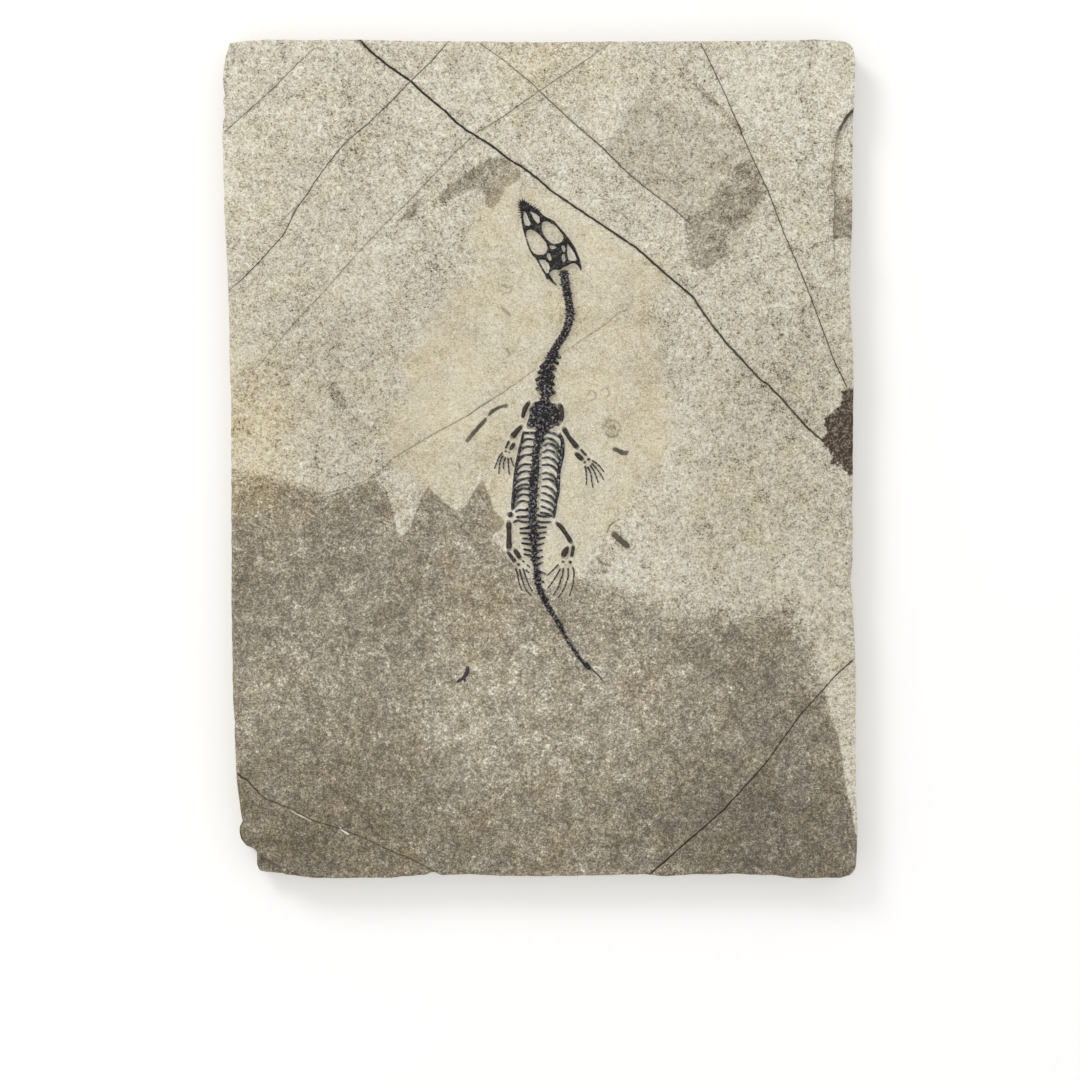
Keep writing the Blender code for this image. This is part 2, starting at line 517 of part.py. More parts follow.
def make_slab(material, parts, cutters):
    """Limestone slab with a rough stepped edge, missing flakes and cracks."""
    rng = random.Random(11)
    outline = SLAB_OUTLINE
    inward = inward_normals(outline)
    work = bmesh.new()
    rings = []
    for share, inset in EDGE_LEVELS:
        ring = []
        for point, normal in zip(outline, inward):
            depth = 0.0 if share == 1.0 else max(0.0, inset + rng.gauss(0, EDGE_ROUGHNESS))
            ring.append(work.verts.new(place(Vector(point) + normal * depth, share * SLAB_THICKNESS)))
        rings.append(ring)
    for lower, upper in zip(rings, rings[1:]):
        for i in range(len(lower)):
            j = (i + 1) % len(lower)
            work.faces.new((lower[i], lower[j], upper[j], upper[i]))
    work.faces.new(rings[0])
    work.faces.new(rings[-1])
    bmesh.ops.recalc_face_normals(work, faces=work.faces)
    mesh = bpy.data.meshes.new("matrix_slab")
    work.to_mesh(mesh)
    work.free()
    slab = mesh_object("matrix_slab", mesh, parts)

    top = SLAB_THICKNESS
    flakes = [
        prism("edge_chip", [EDGE_CHIP], top - CHIP_DEPTH, top + 2, cutters),
        prism("corner_step", [CORNER_STEP], top - CORNER_STEP_DEPTH, top + 2, cutters),
        prism("dark_patch", [DARK_PATCH], top - PATCH_DEPTH, top + 2, cutters),
    ]
    for flake in flakes:
        cut_away(slab, as_cutter(flake))
    for number, (name, width, points) in enumerate(CRACKS, start=1):
        lift = CUTTER_LIFT + SINK_STEP * number
        cut_away(slab, crack_cutter(name, width, points, lift, cutters))
    slab.data.materials.append(material)
    return slab


def crack_cutter(name, width, points, lift, collection):
    """Four-sided tube whose lower edge cuts a V-shaped groove in the upper face."""
    curve = bpy.data.curves.new(name, "CURVE")
    curve.dimensions = "3D"
    curve.twist_mode = "Z_UP"
    curve.bevel_depth = width / 2 * MM
    curve.bevel_resolution = 0
    curve.use_fill_caps = True
    spline = curve.splines.new("POLY")
    spline.points.add(len(points) - 1)
    for point, location in zip(spline.points, points):
        point.co = (*place(location), 1.0)
    obj = bpy.data.objects.new(name, curve)
    collection.objects.link(obj)
    obj = baked(obj, collection)
    for vert in obj.data.vertices:
        vert.co.z = vert.co.z * CRACK_DEPTH_RATIO + (SLAB_THICKNESS + lift) * MM
    return as_cutter(obj)


def cut_away(body, cutter):
    """Boolean difference kept live on the body."""
    cut = body.modifiers.new(cutter.name, "BOOLEAN")
    cut.operation = "DIFFERENCE"
    cut.object = cutter


def make_skull(bed, material, parts):
    """Skull with its openings, raised ridges along its bars, and the teeth round the snout."""
    plate = prism("skull_plate", [SKULL_OUTLINE, *SKULL_OPENINGS.values()],
                  BED - 0.2, BED + SKULL_THICKNESS, parts)
    pieces = [plate]
    for width, points in SKULL_RIDGES:
        roundness = FLAT if width > 2 else 2.2
        widths = [width] * len(points)
        pieces.append(strand("skull_ridge", points, widths, roundness, parts))
    for tooth in TEETH:
        root = Vector(tooth).lerp(Vector(SNOUT_MIDDLE), TOOTH_ROOT_DEPTH)
        pieces.append(strand("tooth", [tooth, root], (TOOTH_WIDTH, TOOTH_WIDTH), ROUND, parts))
    return join_bones("skull", pieces, bed, material, parts)


def make_neck(bed, material, parts):
    """Neck vertebrae with the short ribs of its lower half."""
    pieces = [vertebrae("neck_chain", NECK_PATH, NECK_WIDTHS, NECK_VERTEBRA, FLAT, parts)]
    for points in NECK_RIBS:
        pieces.append(strand("neck_rib", points, (0.9, 0.6), ROUND, parts))
    return join_bones("neck", pieces, bed, material, parts)


def arched(start, peak, end):
    """Rib's curve from the backbone over its highest point to its outer end."""
    root = (start[0] + (SPINE_MIDDLE_X - start[0]) * RIB_ROOT_DEPTH, start[1])
    return smooth_path([root, start, peak, end], RIB_STEP)


def make_rib_cage(bed, material, parts):
    """Trunk vertebrae, ribs, the bars along both flanks and the bones between the hips."""
    pieces = [vertebrae("trunk_chain", TRUNK_PATH, TRUNK_WIDTHS, TRUNK_VERTEBRA, FLAT, parts)]
    for width, points in SHOULDER_LUMPS + SACRAL_BARS:
        pieces.append(strand("bar", points, [width] * len(points), MEDIUM if width < 2 else FLAT, parts))
    for rib in RIBS_RIGHT + RIBS_LEFT:
        points = arched(*rib)
        pieces.append(strand("rib", points, spread((1.0, RIB_WIDTH, 0.9), len(points)), ROUND, parts))
    for points, widths in ((FLANK_RIGHT, FLANK_RIGHT_WIDTHS), (FLANK_LEFT, FLANK_LEFT_WIDTHS)):
        pieces.append(strand("flank", points, spread(widths, len(points)), MEDIUM, parts))
    return join_bones("rib_cage", pieces, bed, material, parts)


def make_tail(bed, material, parts):
    """Tail vertebrae, thinning to the tip, with the side bars of the first ones."""
    pieces = [vertebrae("tail_chain", TAIL_PATH, TAIL_WIDTHS, TAIL_VERTEBRA, FLAT, parts)]
    for points in TAIL_BARS:
        pieces.append(strand("tail_bar", points, (1.0, 0.55), ROUND, parts))
    return join_bones("tail", pieces, bed, material, parts)


def make_flake(bed, material, parts):
    """Loose flake of bone away from the skeleton."""
    piece = strand("flake", FLAKE, FLAKE_WIDTHS, FLAT, parts)
    join_bones("bone_flake", [piece], bed, material, parts)


def make_single_bones(bed, material, parts):
    """Limb, shoulder, hip, wrist and ankle bones."""
    for name, roundness, widths, points in SINGLE_BONES:
        piece = strand("single", points, widths, roundness, parts)
        join_bones(name, [piece], bed, material, parts)


def make_digits(bed, material, parts):
    """Fingers and toes, each a string of small bones that thins to its tip."""
    for limb, fingers in DIGITS.items():
        for number, points in enumerate(fingers, start=1):
            path = smooth_path(points, DIGIT_STEP)
            widths = spread((DIGIT_WIDTH * 1.15, DIGIT_WIDTH * 0.8), len(path))
            knuckled = [w if i % 2 else w * KNUCKLE for i, w in enumerate(widths)]
            piece = strand("digit", path, knuckled, ROUND, parts)
            join_bones(f"{limb}_{number}", [piece], bed, material, parts)


def main():
    """Build the slab and every bone on it."""
    clear_scene()
    parts = make_collection("fossil_marine_reptile_slab")
    cutters = make_collection("cutters")
    materials = {name: make_material(name) for name in FINISHES}
    bed = box("bed_plane", BED - SLAB_THICKNESS, BED, BED_PLANE_SIZE, cutters)
    make_slab(materials["limestone"], parts, cutters)
    make_skull(bed, materials["skull_bone"], parts)
    make_neck(bed, materials["backbone"], parts)
    make_rib_cage(bed, materials["backbone"], parts)
    make_tail(bed, materials["backbone"], parts)
    make_single_bones(bed, materials["limb_bone"], parts)
    make_flake(bed, materials["flake_bone"], parts)
    make_digits(bed, materials["digit_bone"], parts)


main()
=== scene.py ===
"""Looks of a small fossil marine reptile that lies on its slab of bedded limestone.

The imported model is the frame. The slab and every bone get a detailed mesh in the place of their
CAD node, with procedural finishes: cream and grey limestone with stained cracks, and dark fossil
bone. Plan coordinates in the lists are millimetres on the slab's face, seen from above, and
heights are millimetres over the face that the slab rests on.
"""

import json
import logging
import math
from dataclasses import dataclass
from enum import Enum

import bpy
import numpy as np
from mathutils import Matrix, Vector, noise
from mathutils.geometry import delaunay_2d_cdt
from mathutils.kdtree import KDTree

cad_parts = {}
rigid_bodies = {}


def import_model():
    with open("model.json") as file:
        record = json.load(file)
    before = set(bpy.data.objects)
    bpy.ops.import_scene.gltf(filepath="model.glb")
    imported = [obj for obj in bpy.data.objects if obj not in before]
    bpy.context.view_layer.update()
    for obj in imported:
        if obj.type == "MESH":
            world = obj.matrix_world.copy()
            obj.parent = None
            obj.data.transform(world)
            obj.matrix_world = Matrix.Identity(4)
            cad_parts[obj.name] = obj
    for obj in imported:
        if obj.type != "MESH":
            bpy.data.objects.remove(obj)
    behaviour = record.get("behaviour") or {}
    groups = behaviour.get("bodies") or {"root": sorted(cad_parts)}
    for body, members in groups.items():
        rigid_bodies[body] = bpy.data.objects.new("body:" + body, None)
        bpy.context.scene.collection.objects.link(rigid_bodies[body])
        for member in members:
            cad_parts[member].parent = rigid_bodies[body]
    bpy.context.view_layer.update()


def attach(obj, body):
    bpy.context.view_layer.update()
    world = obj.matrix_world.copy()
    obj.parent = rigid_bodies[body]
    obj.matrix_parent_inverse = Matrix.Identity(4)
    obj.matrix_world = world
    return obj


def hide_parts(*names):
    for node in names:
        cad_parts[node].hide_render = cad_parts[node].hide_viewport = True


Plan = tuple[float, float]
Colour = tuple[float, float, float]
log = logging.getLogger("fossil_slab")

MM = 0.001
FACE = 14.0  # height of the slab's face in millimetres
BED = 14.3  # height of the flat that the bones grow from
FAR = 30.0  # distance past which a stored gap isn't needed
PLAN_MIDDLE = np.array((-0.4, 0.1, 0.0))
ROOT_BODY = "root"
CHUNK = 4096  # points measured at once, which bounds the memory used
MERGE_DISTANCE = 1e-5
INSIDE_FACES = 1


# The slab's face


class LineKind(Enum):
    """What a thin line on the slab's face is."""

    CRACK = "crack"
    HAIRLINE = "hairline"
    STROKE = "stroke"
    PALE_STREAK = "pale streak"


@dataclass(frozen=True)
class Line:
    """Crack or thin mark across the slab's face; a negative depth raises it."""

    name: str
    kind: LineKind
    width: float
    depth: float
    tones: tuple[float, ...]
    points: tuple[Plan, ...]


@dataclass(frozen=True)
class Stain:
    """Area where the grey lower bed shows; its softness is half the width of its torn border."""

    name: str
    softness: float
    outline: tuple[Plan, ...]
    strength: float = 0.8


@dataclass(frozen=True)
class Tint:
    """Broad soft change in how light or how warm the stone is."""

    name: str
    centre: Plan
    radii: Plan
    upper: float
    lower: float
    warmth: float


@dataclass(frozen=True)
class Step:
    """Area where the upper bed has flaked away down to a lower level."""

    name: str
    depth: float
    wall: float
    outline: tuple[Plan, ...]


SLAB_OUTLINE = (
    (-124.6, 166.6), (-118, 167.4), (-110, 168), (-90, 167.8), (-79, 168), (-50, 167.4), (0, 167),
    (40, 167.2), (80, 167.4), (100, 167.6), (110, 168), (118, 167.6), (122, 167), (124.4, 165.6),
    (125.4, 163), (125.8, 158), (125.4, 140), (125, 120), (124.8, 95), (124.4, 88), (123.6, 70),
    (124.6, 50), (125, 42), (125.2, 27), (125, 10), (124.8, -10), (124.6, -20), (125, -30),
    (124.8, -40), (124, -50), (124.6, -55), (125.6, -70), (126, -90), (126, -130), (126.4, -140),
    (126.8, -150), (126.4, -161), (126, -164), (124, -166.6), (120, -167.6), (102, -167.8),
    (97, -167), (78, -166), (68, -166.4), (62, -166.2), (50, -167), (40, -166.2), (20, -166.8),
    (0, -167), (-20, -166.8), (-28, -166.2), (-40, -166.6), (-43, -165.4), (-46, -166.4),
    (-60, -167.6), (-90, -167.8), (-96, -167), (-102, -166.4), (-108, -165.8), (-112.4, -165.4),
    (-113.4, -164.6), (-114.2, -162.4), (-114, -157), (-115.6, -155.6), (-118, -154.6),
    (-120, -152), (-120.6, -149.6), (-120.6, -147), (-119.4, -145), (-120.4, -140),
    (-121.6, -130), (-122, -125), (-122.6, -110), (-123.5, -90), (-123.8, -70), (-124, -20),
    (-124, 20), (-124.8, 40), (-125, 60), (-125.8, 80), (-126.8, 100), (-127.3, 120),
    (-127.6, 134), (-126.4, 138), (-127.4, 143), (-126.6, 146), (-127.6, 150), (-127, 156),
    (-126, 162),
)

LINES = (
    Line("main crack", LineKind.CRACK, 0.85, 0.9, (0.95, 1.0, 0.9, 0.9, 0.75, 0.7), (
        (-73, 168.4), (-72, 167), (-68, 163), (-64, 159.6), (-60, 156.6), (-52, 151), (-46, 145.4),
        (-38, 138.8), (-34, 134.8), (-30, 131.6), (-22, 126.8), (-18, 124), (-14, 120.6),
        (-6, 115.8), (0, 111), (4, 107.4), (14, 100.6), (26, 92.6), (38, 84.6), (42, 81.2),
        (48, 75.6), (58, 67.2), (61, 64.6), (64, 60), (67, 55.6), (74, 46.6), (82, 38), (88, 31.6),
        (91, 29.6), (98, 22.2), (106, 13), (113, 7))),
    Line("upper right crack", LineKind.CRACK, 0.42, 0.5, (0.6, 0.65, 0.7, 0.8), (
        (63.1, 168.2), (63.5, 167), (67, 160), (73, 147.4), (80, 131), (84, 121.6), (91, 107),
        (97, 91), (104, 74.6), (108, 64.6), (112, 53.6), (118, 37.6), (122.6, 28.6))),
    Line("upper left crack", LineKind.CRACK, 0.38, 0.5, (0.5, 0.65, 0.7, 0.7, 0.6), (
        (-36.2, 168), (-37, 167), (-44, 158.8), (-52.4, 151), (-60, 143), (-68, 135.2),
        (-76, 128.6), (-80, 124.6), (-84, 119.6), (-90, 111.6), (-94, 105.2), (-97.6, 100.6),
        (-102.6, 90.2), (-111, 80.7), (-119.4, 72), (-125, 67.4), (-126.4, 66.2))),
    Line("upper left branch", LineKind.HAIRLINE, 0.3, 0.15, (0.45, 0.3, 0.1), (
        (-97.5, 101.4), (-103, 96), (-109.6, 89.6))),
    Line("corner crack", LineKind.CRACK, 0.35, 0.35, (0.6, 0.5, 0.5, 0.3), (
        (-128.4, 129), (-127.4, 130), (-114, 142), (-108, 147.4), (-98, 157.6), (-91, 164))),
    Line("long left hairline", LineKind.HAIRLINE, 0.32, 0.25, (0.5, 0.45, 0.4, 0.4, 0.25, 0.1), (
        (-27, 129.6), (-36, 121), (-44, 112.4), (-54, 102), (-62, 94.4), (-70, 86), (-78, 77),
        (-88, 65.6), (-100, 53), (-113, 37), (-124, 26))),
    Line("top hairline", LineKind.HAIRLINE, 0.35, 0.3, (0.4, 0.5, 0.55, 0.5), (
        (29.4, 168), (28.5, 167), (18, 159.4), (8, 153), (0, 147.6), (-10, 140.6), (-18, 135),
        (-26, 130.4))),
    Line("top hairline's twin", LineKind.HAIRLINE, 0.3, 0.15, (0.3, 0.3), ((1, 143.6), (-8, 139))),
    Line("top cross crack", LineKind.CRACK, 0.45, 0.4, (0.3, 0.4, 0.55, 0.75, 0.8, 0.7, 0.5), (
        (-26.4, 168), (-25, 166.6), (-16, 160.4), (-4, 150.6), (0, 146.6), (12, 135.4), (24, 125),
        (34, 115), (42, 108.4), (52, 101), (60, 94))),
    Line("lower right crack", LineKind.CRACK, 0.55, 0.6, (0.95, 0.95, 0.85, 0.6, 0.55, 0.9), (
        (42.6, -167.2), (43.6, -166), (50, -160.6), (58, -153.4), (66, -146.6), (74, -139.4),
        (82, -130.6), (90, -121.6), (104, -102), (110, -95.6), (118, -86.4), (125.8, -79.6),
        (127, -78.6))),
    Line("crack behind the neck", LineKind.HAIRLINE, 0.32, 0.2, (0.25, 0.4, 0.5, 0.6, 0.6, 0.3), (
        (-86, -14), (-78, -11.6), (-70, -8.6), (-64, -4.6), (-59, 0.4), (-52, 4.6), (-44, 9.4),
        (-30, 17), (-14, 27.4), (-2, 36))),
    Line("crack before the neck", LineKind.HAIRLINE, 0.28, 0.15, (0.3, 0.45, 0.5, 0.3), (
        (8, 42), (14, 46), (20, 50), (26, 54), (31, 58.4), (38, 61))),
    Line("lower left crack", LineKind.CRACK, 0.6, 0.5, (1.0, 0.5, 0.25, 0.15, 0.1, 0.12, 0.4), (
        (-122.4, -125), (-119.6, -127.4), (-117.4, -128.4), (-113, -133.4), (-110, -136),
        (-100, -140), (-92, -144.4), (-80, -148), (-70, -152), (-64, -155), (-50, -161),
        (-42, -165.4), (-41, -167))),
    Line("long dark stroke", LineKind.STROKE, 1.4, -0.1, (0.8, 0.95, 1.0, 0.9), (
        (-29.6, 7.2), (-26, 11.6), (-22, 16))),
    Line("short dark stroke", LineKind.STROKE, 1.3, -0.1, (0.95, 1.0, 0.8), (
        (-20.5, 18), (-19.6, 19), (-17, 20.6), (-14, 21.4))),
    Line("thin stroke", LineKind.STROKE, 0.45, 0.0, (0.85, 0.7, 0.4), (
        (-29.6, 17.3), (-29, 17.5), (-23, 22), (-20, 24))),
    Line("thin stroke's tail", LineKind.STROKE, 0.3, 0.0, (0.3, 0.5), ((-33.5, 15), (-29.4, 17.3))),
    Line("lone dot", LineKind.STROKE, 0.6, 0.0, (0.7, 0.7), ((-18.1, 7.4), (-17.8, 7.4))),
    Line("tick", LineKind.STROKE, 0.35, 0.0, (0.6, 0.5), ((-33, -1.6), (-32.4, -4))),
    Line("brown chip", LineKind.STROKE, 1.8, -0.2, (0.9, 1.0, 0.95, 0.8), (
        (29.4, 3.9), (31, 3.3), (33, 2.3), (34.4, 2.6))),
    Line("pit", LineKind.STROKE, 2.3, 0.4, (0.8, 0.95, 0.9), ((29, -30), (31.4, -32.2), (34.6, -34.8))),
    Line("swirl, upper arc", LineKind.STROKE, 0.7, 0.1, (0.25, 0.43, 0.36, 0.29), (
        (25.2, 13), (26.6, 15.4), (29.6, 15.6), (31.6, 13.6), (32.2, 10.6))),
    Line("swirl, lower arc", LineKind.STROKE, 0.8, 0.1, (0.36, 0.47, 0.29), (
        (25.8, 10.6), (27.6, 8.6), (30.6, 9.4), (31.2, 11.8))),
    Line("swirl, middle", LineKind.STROKE, 0.6, 0.1, (0.36, 0.43), (
        (27.2, 12.8), (29, 13.6), (30, 11.8))),
    Line("faint ring", LineKind.STROKE, 0.45, 0.05, (0.3, 0.4, 0.3), (
        (18.6, 25.4), (20, 27.6), (22.2, 26.2), (21.6, 23.8), (19.4, 23.4))),
    Line("second faint ring", LineKind.STROKE, 0.45, 0.05, (0.3, 0.4, 0.3), (
        (24, 27.4), (26.2, 28.4), (27.6, 26.2), (26, 24.2))),
    Line("dots below the pit", LineKind.STROKE, 1.0, 0.1, (0.5, 0.65, 0.4), (
        (22.8, -39.6), (24.4, -41.8), (27, -42.6))),
    Line("second dots", LineKind.STROKE, 0.7, 0.1, (0.5, 0.4), ((24, -44.4), (26.8, -45.4))),
    Line("smudge left of the neck", LineKind.STROKE, 1.3, 0.0, (0.3, 0.5, 0.35), (
        (-15.8, 60.6), (-14, 59), (-12.6, 57.6))),
    Line("swirl left of the skull", LineKind.STROKE, 0.6, 0.0, (0.3, 0.4, 0.3), (
        (-16, 70), (-13.6, 68.4), (-11.4, 69.4), (-12.4, 66.6), (-15, 66.4))),
    Line("smudge beside the lower neck", LineKind.STROKE, 0.9, 0.0, (0.3, 0.4, 0.3), (
        (-13.8, 44), (-12.4, 42.6), (-13, 41.4))),
    Line("arc over the pit", LineKind.STROKE, 0.4, 0.1, (0.5, 0.7, 0.4), (
        (26.4, -29.4), (27.6, -26.4), (30.6, -24.4))),
    # Painted shadow along the chip's step: a thick dark line on its upper part, thinning along the rest
    # of its edge.
    Line("painted shadow under the chip's edge", LineKind.CRACK, 1.1, 0.5, (1.0, 1.0, 0.9, 0.5), (
        (126, 140.8), (122, 136.4), (119.8, 132.6), (118.2, 128.4))),
    Line("thin painted shadow along the chip's edge", LineKind.HAIRLINE, 0.4, 0.2, (0.6, 0.35, 0.3, 0.5, 0.6, 0.6), (
        (118.2, 128.4), (117.6, 122), (116.6, 116), (116.2, 111), (117.4, 106), (117.6, 100),
        (117, 94), (117.2, 88))),
    Line("line under the chip", LineKind.HAIRLINE, 0.3, 0.1, (0.5, 0.3, 0.15), (
        (117.2, 88), (117.8, 76), (118, 60))),
    Line("ledge at the lower right", LineKind.HAIRLINE, 0.3, 0.15, (0.5, 0.4, 0.5), (
        (126, -137), (122.6, -142), (122.6, -150), (125, -157))),
    Line("edge of the lower left corner", LineKind.CRACK, 0.5, 0.3, (1.0, 0.7, 0.8, 1.0), (
        (-117, -155), (-115.6, -155.6), (-110, -160), (-105.6, -162.6), (-102, -167))),
    # Painted shadow at the left notch of the broken lower left corner.
    Line("painted shadow at the left notch", LineKind.STROKE, 1.1, 0.2, (0.5, 0.9, 0.6), (
        (-120.9, -146.6), (-120.6, -150), (-119, -153.4))),
    Line("first streak", LineKind.PALE_STREAK, 0.6, 0.0, (-0.4, -0.8, -0.5), (
        (-100, -140.6), (-96, -142.8), (-92, -144.6))),
    Line("second streak", LineKind.PALE_STREAK, 0.8, 0.0, (-1.0, -0.9), ((-80.4, -147.8), (-77, -150))),
    Line("hair by the flake", LineKind.STROKE, 0.25, 0.0, (0.8, 0.6), ((-28.7, -85.8), (-26.1, -86))),
)

STAINS = (
    Stain("grey patch by the snout", 0.5, (
        (-18, 121), (-13, 119.6), (-7.6, 115), (-10, 111), (-14, 108.6), (-17, 103), (-19.4, 99.6),
        (-22.4, 101.6), (-22, 106), (-25, 108.6), (-30, 106.6), (-40, 102.6), (-41, 106),
        (-32, 113.4), (-22, 119.6))),
    Stain("dark core at the upper right", 0.5, (
        (57, 95.6), (60, 97.4), (66, 100), (70, 108), (76, 114), (80, 120), (84, 119.6),
        (88, 112.6), (90, 107.6), (84, 98.6), (80, 93), (74, 89), (74, 82), (66, 75.6), (61, 75.4),
        (59, 82), (57, 90))),
    Stain("streak at the upper right", 0.5, (
        (61, 151.4), (64, 149.6), (73.6, 140), (81.6, 131.4), (80, 129), (76, 134), (70, 139),
        (64, 145))),
    Stain("blotch left of the neck", 1.2, (
        (-85.6, 31), (-82, 31), (-77.6, 20), (-80, 18.6), (-83, 23))),
    Stain("blotch left of the skull", 1.0, (
        (-57.6, 95.4), (-54, 99.6), (-49, 104.8), (-47, 103.4), (-48.4, 98.4), (-52, 95.6))),
    Stain("lower bed", 0.45, (
        (-140, -2), (-124, -4), (-112, -6), (-100, -9), (-92, -13), (-84, -14), (-78, -12),
        (-67, -8.4), (-63, -10), (-60.6, -16), (-57.4, -29.6), (-54.6, -30.6), (-52, -27),
        (-49, -18), (-45.4, -11), (-40, -16), (-36, -19.6), (-32.4, -20.8), (-30, -18),
        (-26, -11.4), (-23.4, -8), (-21.4, -13), (-19, -20), (-15, -24.4), (-15, -26.6),
        (-20.6, -32), (-17, -34.6), (-12, -39.6), (-6, -47), (2, -52), (10, -50), (14, -48),
        (30, -52), (40, -54), (50, -60), (60, -61.4), (84, -62), (98, -60), (102, -68),
        (109, -79), (113, -92), (116.6, -105), (119, -110), (122, -130), (126, -150), (140, -160),
        (140, -190), (-140, -190)), 1.0),
    Stain("streak at the main crack", 0.5, (
        (-79, 168.6), (-72, 168.6), (-66, 161), (-69, 162.6), (-73, 166.4)), 0.9),
    Stain("swirl by the forelimb", 1.0, (
        (25.6, 13.4), (28.4, 14.2), (30.6, 11.4), (29.8, 8.6), (27.2, 9)), 0.35),
    Stain("smudge by the pit", 1.4, (
        (28.4, -28), (33.4, -29.2), (37.4, -33.6), (35.4, -37.4), (31, -36.4), (28, -32.6)), 0.45),
    Stain("smudge by the hind foot", 1.4, (
        (22.6, -38.6), (28, -39.6), (28.4, -43), (24, -44), (21.4, -41.6)), 0.45),
    Stain("speckled strip in the chip", 1.5, (
        (118, 107), (123.8, 106), (126, 96), (126, 88.6), (117.6, 88.4), (117.8, 98)), 0.7),
)

STONE_NUMBERS = (
    "halo", "lower_share", "line_gap", "line_tone", "bone_gap", "lower_gap", "lower_soft",
    "upper_shade", "lower_shade", "warmth", "prepared", "crust_gap", "wall",
)
RIB_AREA = (
    (-7, 12), (8.6, 10), (8.8, 2), (7.6, -7), (7, -13), (5.2, -24), (-12, -24), (-11, -10), (-9, 2),
)
PREPARED = (
    (-27, 102), (-14, 112), (6, 108), (20, 97), (32, 88), (52, 74), (44, 60), (50, 40), (54, 10),
    (42, -8), (30, -22), (20, -40), (12, -50), (-10, -44), (-15, -30), (-17, -24), (-24, -8),
    (-34, -20), (-47, -12), (-60, -2), (-62, 10), (-55, 30), (-50, 50), (-27, 75),
)
UPPER_RIGHT_GREY = (
    (26, 124), (40, 147.6), (46, 145), (60, 140), (72, 134), (84, 121.6), (91, 107), (86, 96),
    (76, 82), (66, 75), (59, 82), (60, 94), (52, 101), (42, 108.4), (34, 115),
)

TINTS = (
    Tint("upper left corner", (-112, 112), (34, 40), 0.04, 0.0, 0.25),
    Tint("top right corner", (112, 140), (30, 34), 0.06, 0.0, 0.0),
    Tint("yellow at the top", (0, 156), (30, 16), 0.0, 0.0, 0.8),
    Tint("left middle", (-84, 34), (52, 44), -0.08, 0.0, 0.1),
    Tint("warm left edge", (-116, 8), (18, 34), 0.0, 0.0, 1.2),
    Tint("right middle", (92, 22), (42, 36), -0.055, 0.0, 0.0),
    Tint("right of the trunk", (76, -26), (40, 30), -0.06, 0.0, 0.2),
    Tint("right strip", (116, -72), (14, 34), -0.06, 0.02, 0.1),
    Tint("chip", (122, 118), (4, 14), 0.07, 0.0, 0.1),
    Tint("pinkish lower bed", (-30, -62), (20, 16), 0.0, 0.0, 0.5),
    Tint("upper left", (-95, 108), (26, 24), -0.06, 0.0, 0.0),
    Tint("lower middle left", (-55, -118), (16, 9), 0.0, -0.05, 0.0),
    Tint("lower left", (-86, -40), (50, 34), 0.0, -0.01, -0.1),
    Tint("lower middle", (6, -104), (56, 40), 0.0, 0.07, 0.05),
    Tint("pale lower left", (-90, -88), (26, 20), 0.0, 0.04, 0.0),
    Tint("bottom left", (-92, -150), (60, 34), 0.0, -0.09, 0.3),
    Tint("bottom middle", (10, -156), (60, 26), 0.0, -0.04, 0.1),
    Tint("bottom right", (92, -146), (52, 44), 0.0, -0.1, -0.05),
    Tint("right under the bed's border", (92, -84), (34, 22), 0.0, -0.03, 0.0),
)

STEPS = (
    Step("edge chip", 2.4, 0.4, (
        (132, 143), (125.2, 140), (122, 136.4), (119.8, 132.6), (118.2, 128.4), (117.6, 122),
        (116.6, 116), (116.2, 111), (117.4, 106), (117.6, 100), (117, 94), (117.2, 88),
        (124.2, 89), (132, 91))),
    Step("lower left corner", 4.2, 0.7, (
        (-126, -155.2), (-115.6, -155.6), (-110, -160), (-105.6, -162.6), (-102.4, -166),
        (-102, -172), (-126, -172))),
    Step("dark patch", 0.8, 1.0, (
        (132, 28.4), (122.6, 28.4), (120.6, 27), (119.4, 21.4), (117, 19.6), (113.4, 16.4),
        (114.6, 10.6), (112, 7.4), (115.4, 3.4), (116, -2), (117.6, -1.4), (119, -3),
        (122.6, -6), (132, -7))),
)


# The skeleton

SKULL_OUTLINE = (
    (-8.6, 102.6), (-7.6, 103.4), (-6.2, 102.6), (-4.4, 101.5), (-2.6, 100.4), (-0.6, 98.8),
    (1.6, 97.1), (3.8, 96.1), (5.2, 95.2), (7, 93.2), (8.4, 91.6), (9.8, 90), (11.2, 88.2),
    (12.6, 86.2), (13.8, 84.2), (14.8, 81.6), (15.6, 79.8), (15.9, 77.8), (16.3, 76.2), (16.1, 74.8),
    (15.4, 76.3), (14.6, 77.6), (13.4, 78.4), (12, 78.1), (10.4, 77.2), (8.8, 76.6), (7.4, 75.6),
    (5.4, 75.8), (4.2, 75.1), (3.3, 74), (4.3, 72.6), (5.2, 71), (6.6, 69.4), (5.4, 69.8), (4, 70.8),
    (3, 72.1), (2.2, 71.2), (1.8, 73), (0.9, 74.8), (-0.6, 77.2), (-2.2, 80.2), (-3.8, 81.9),
    (-4.8, 83.8), (-5.7, 86.4), (-6.6, 89.4), (-7.4, 92), (-7.8, 95.2), (-7.9, 98.4), (-8.5, 100.4),
)
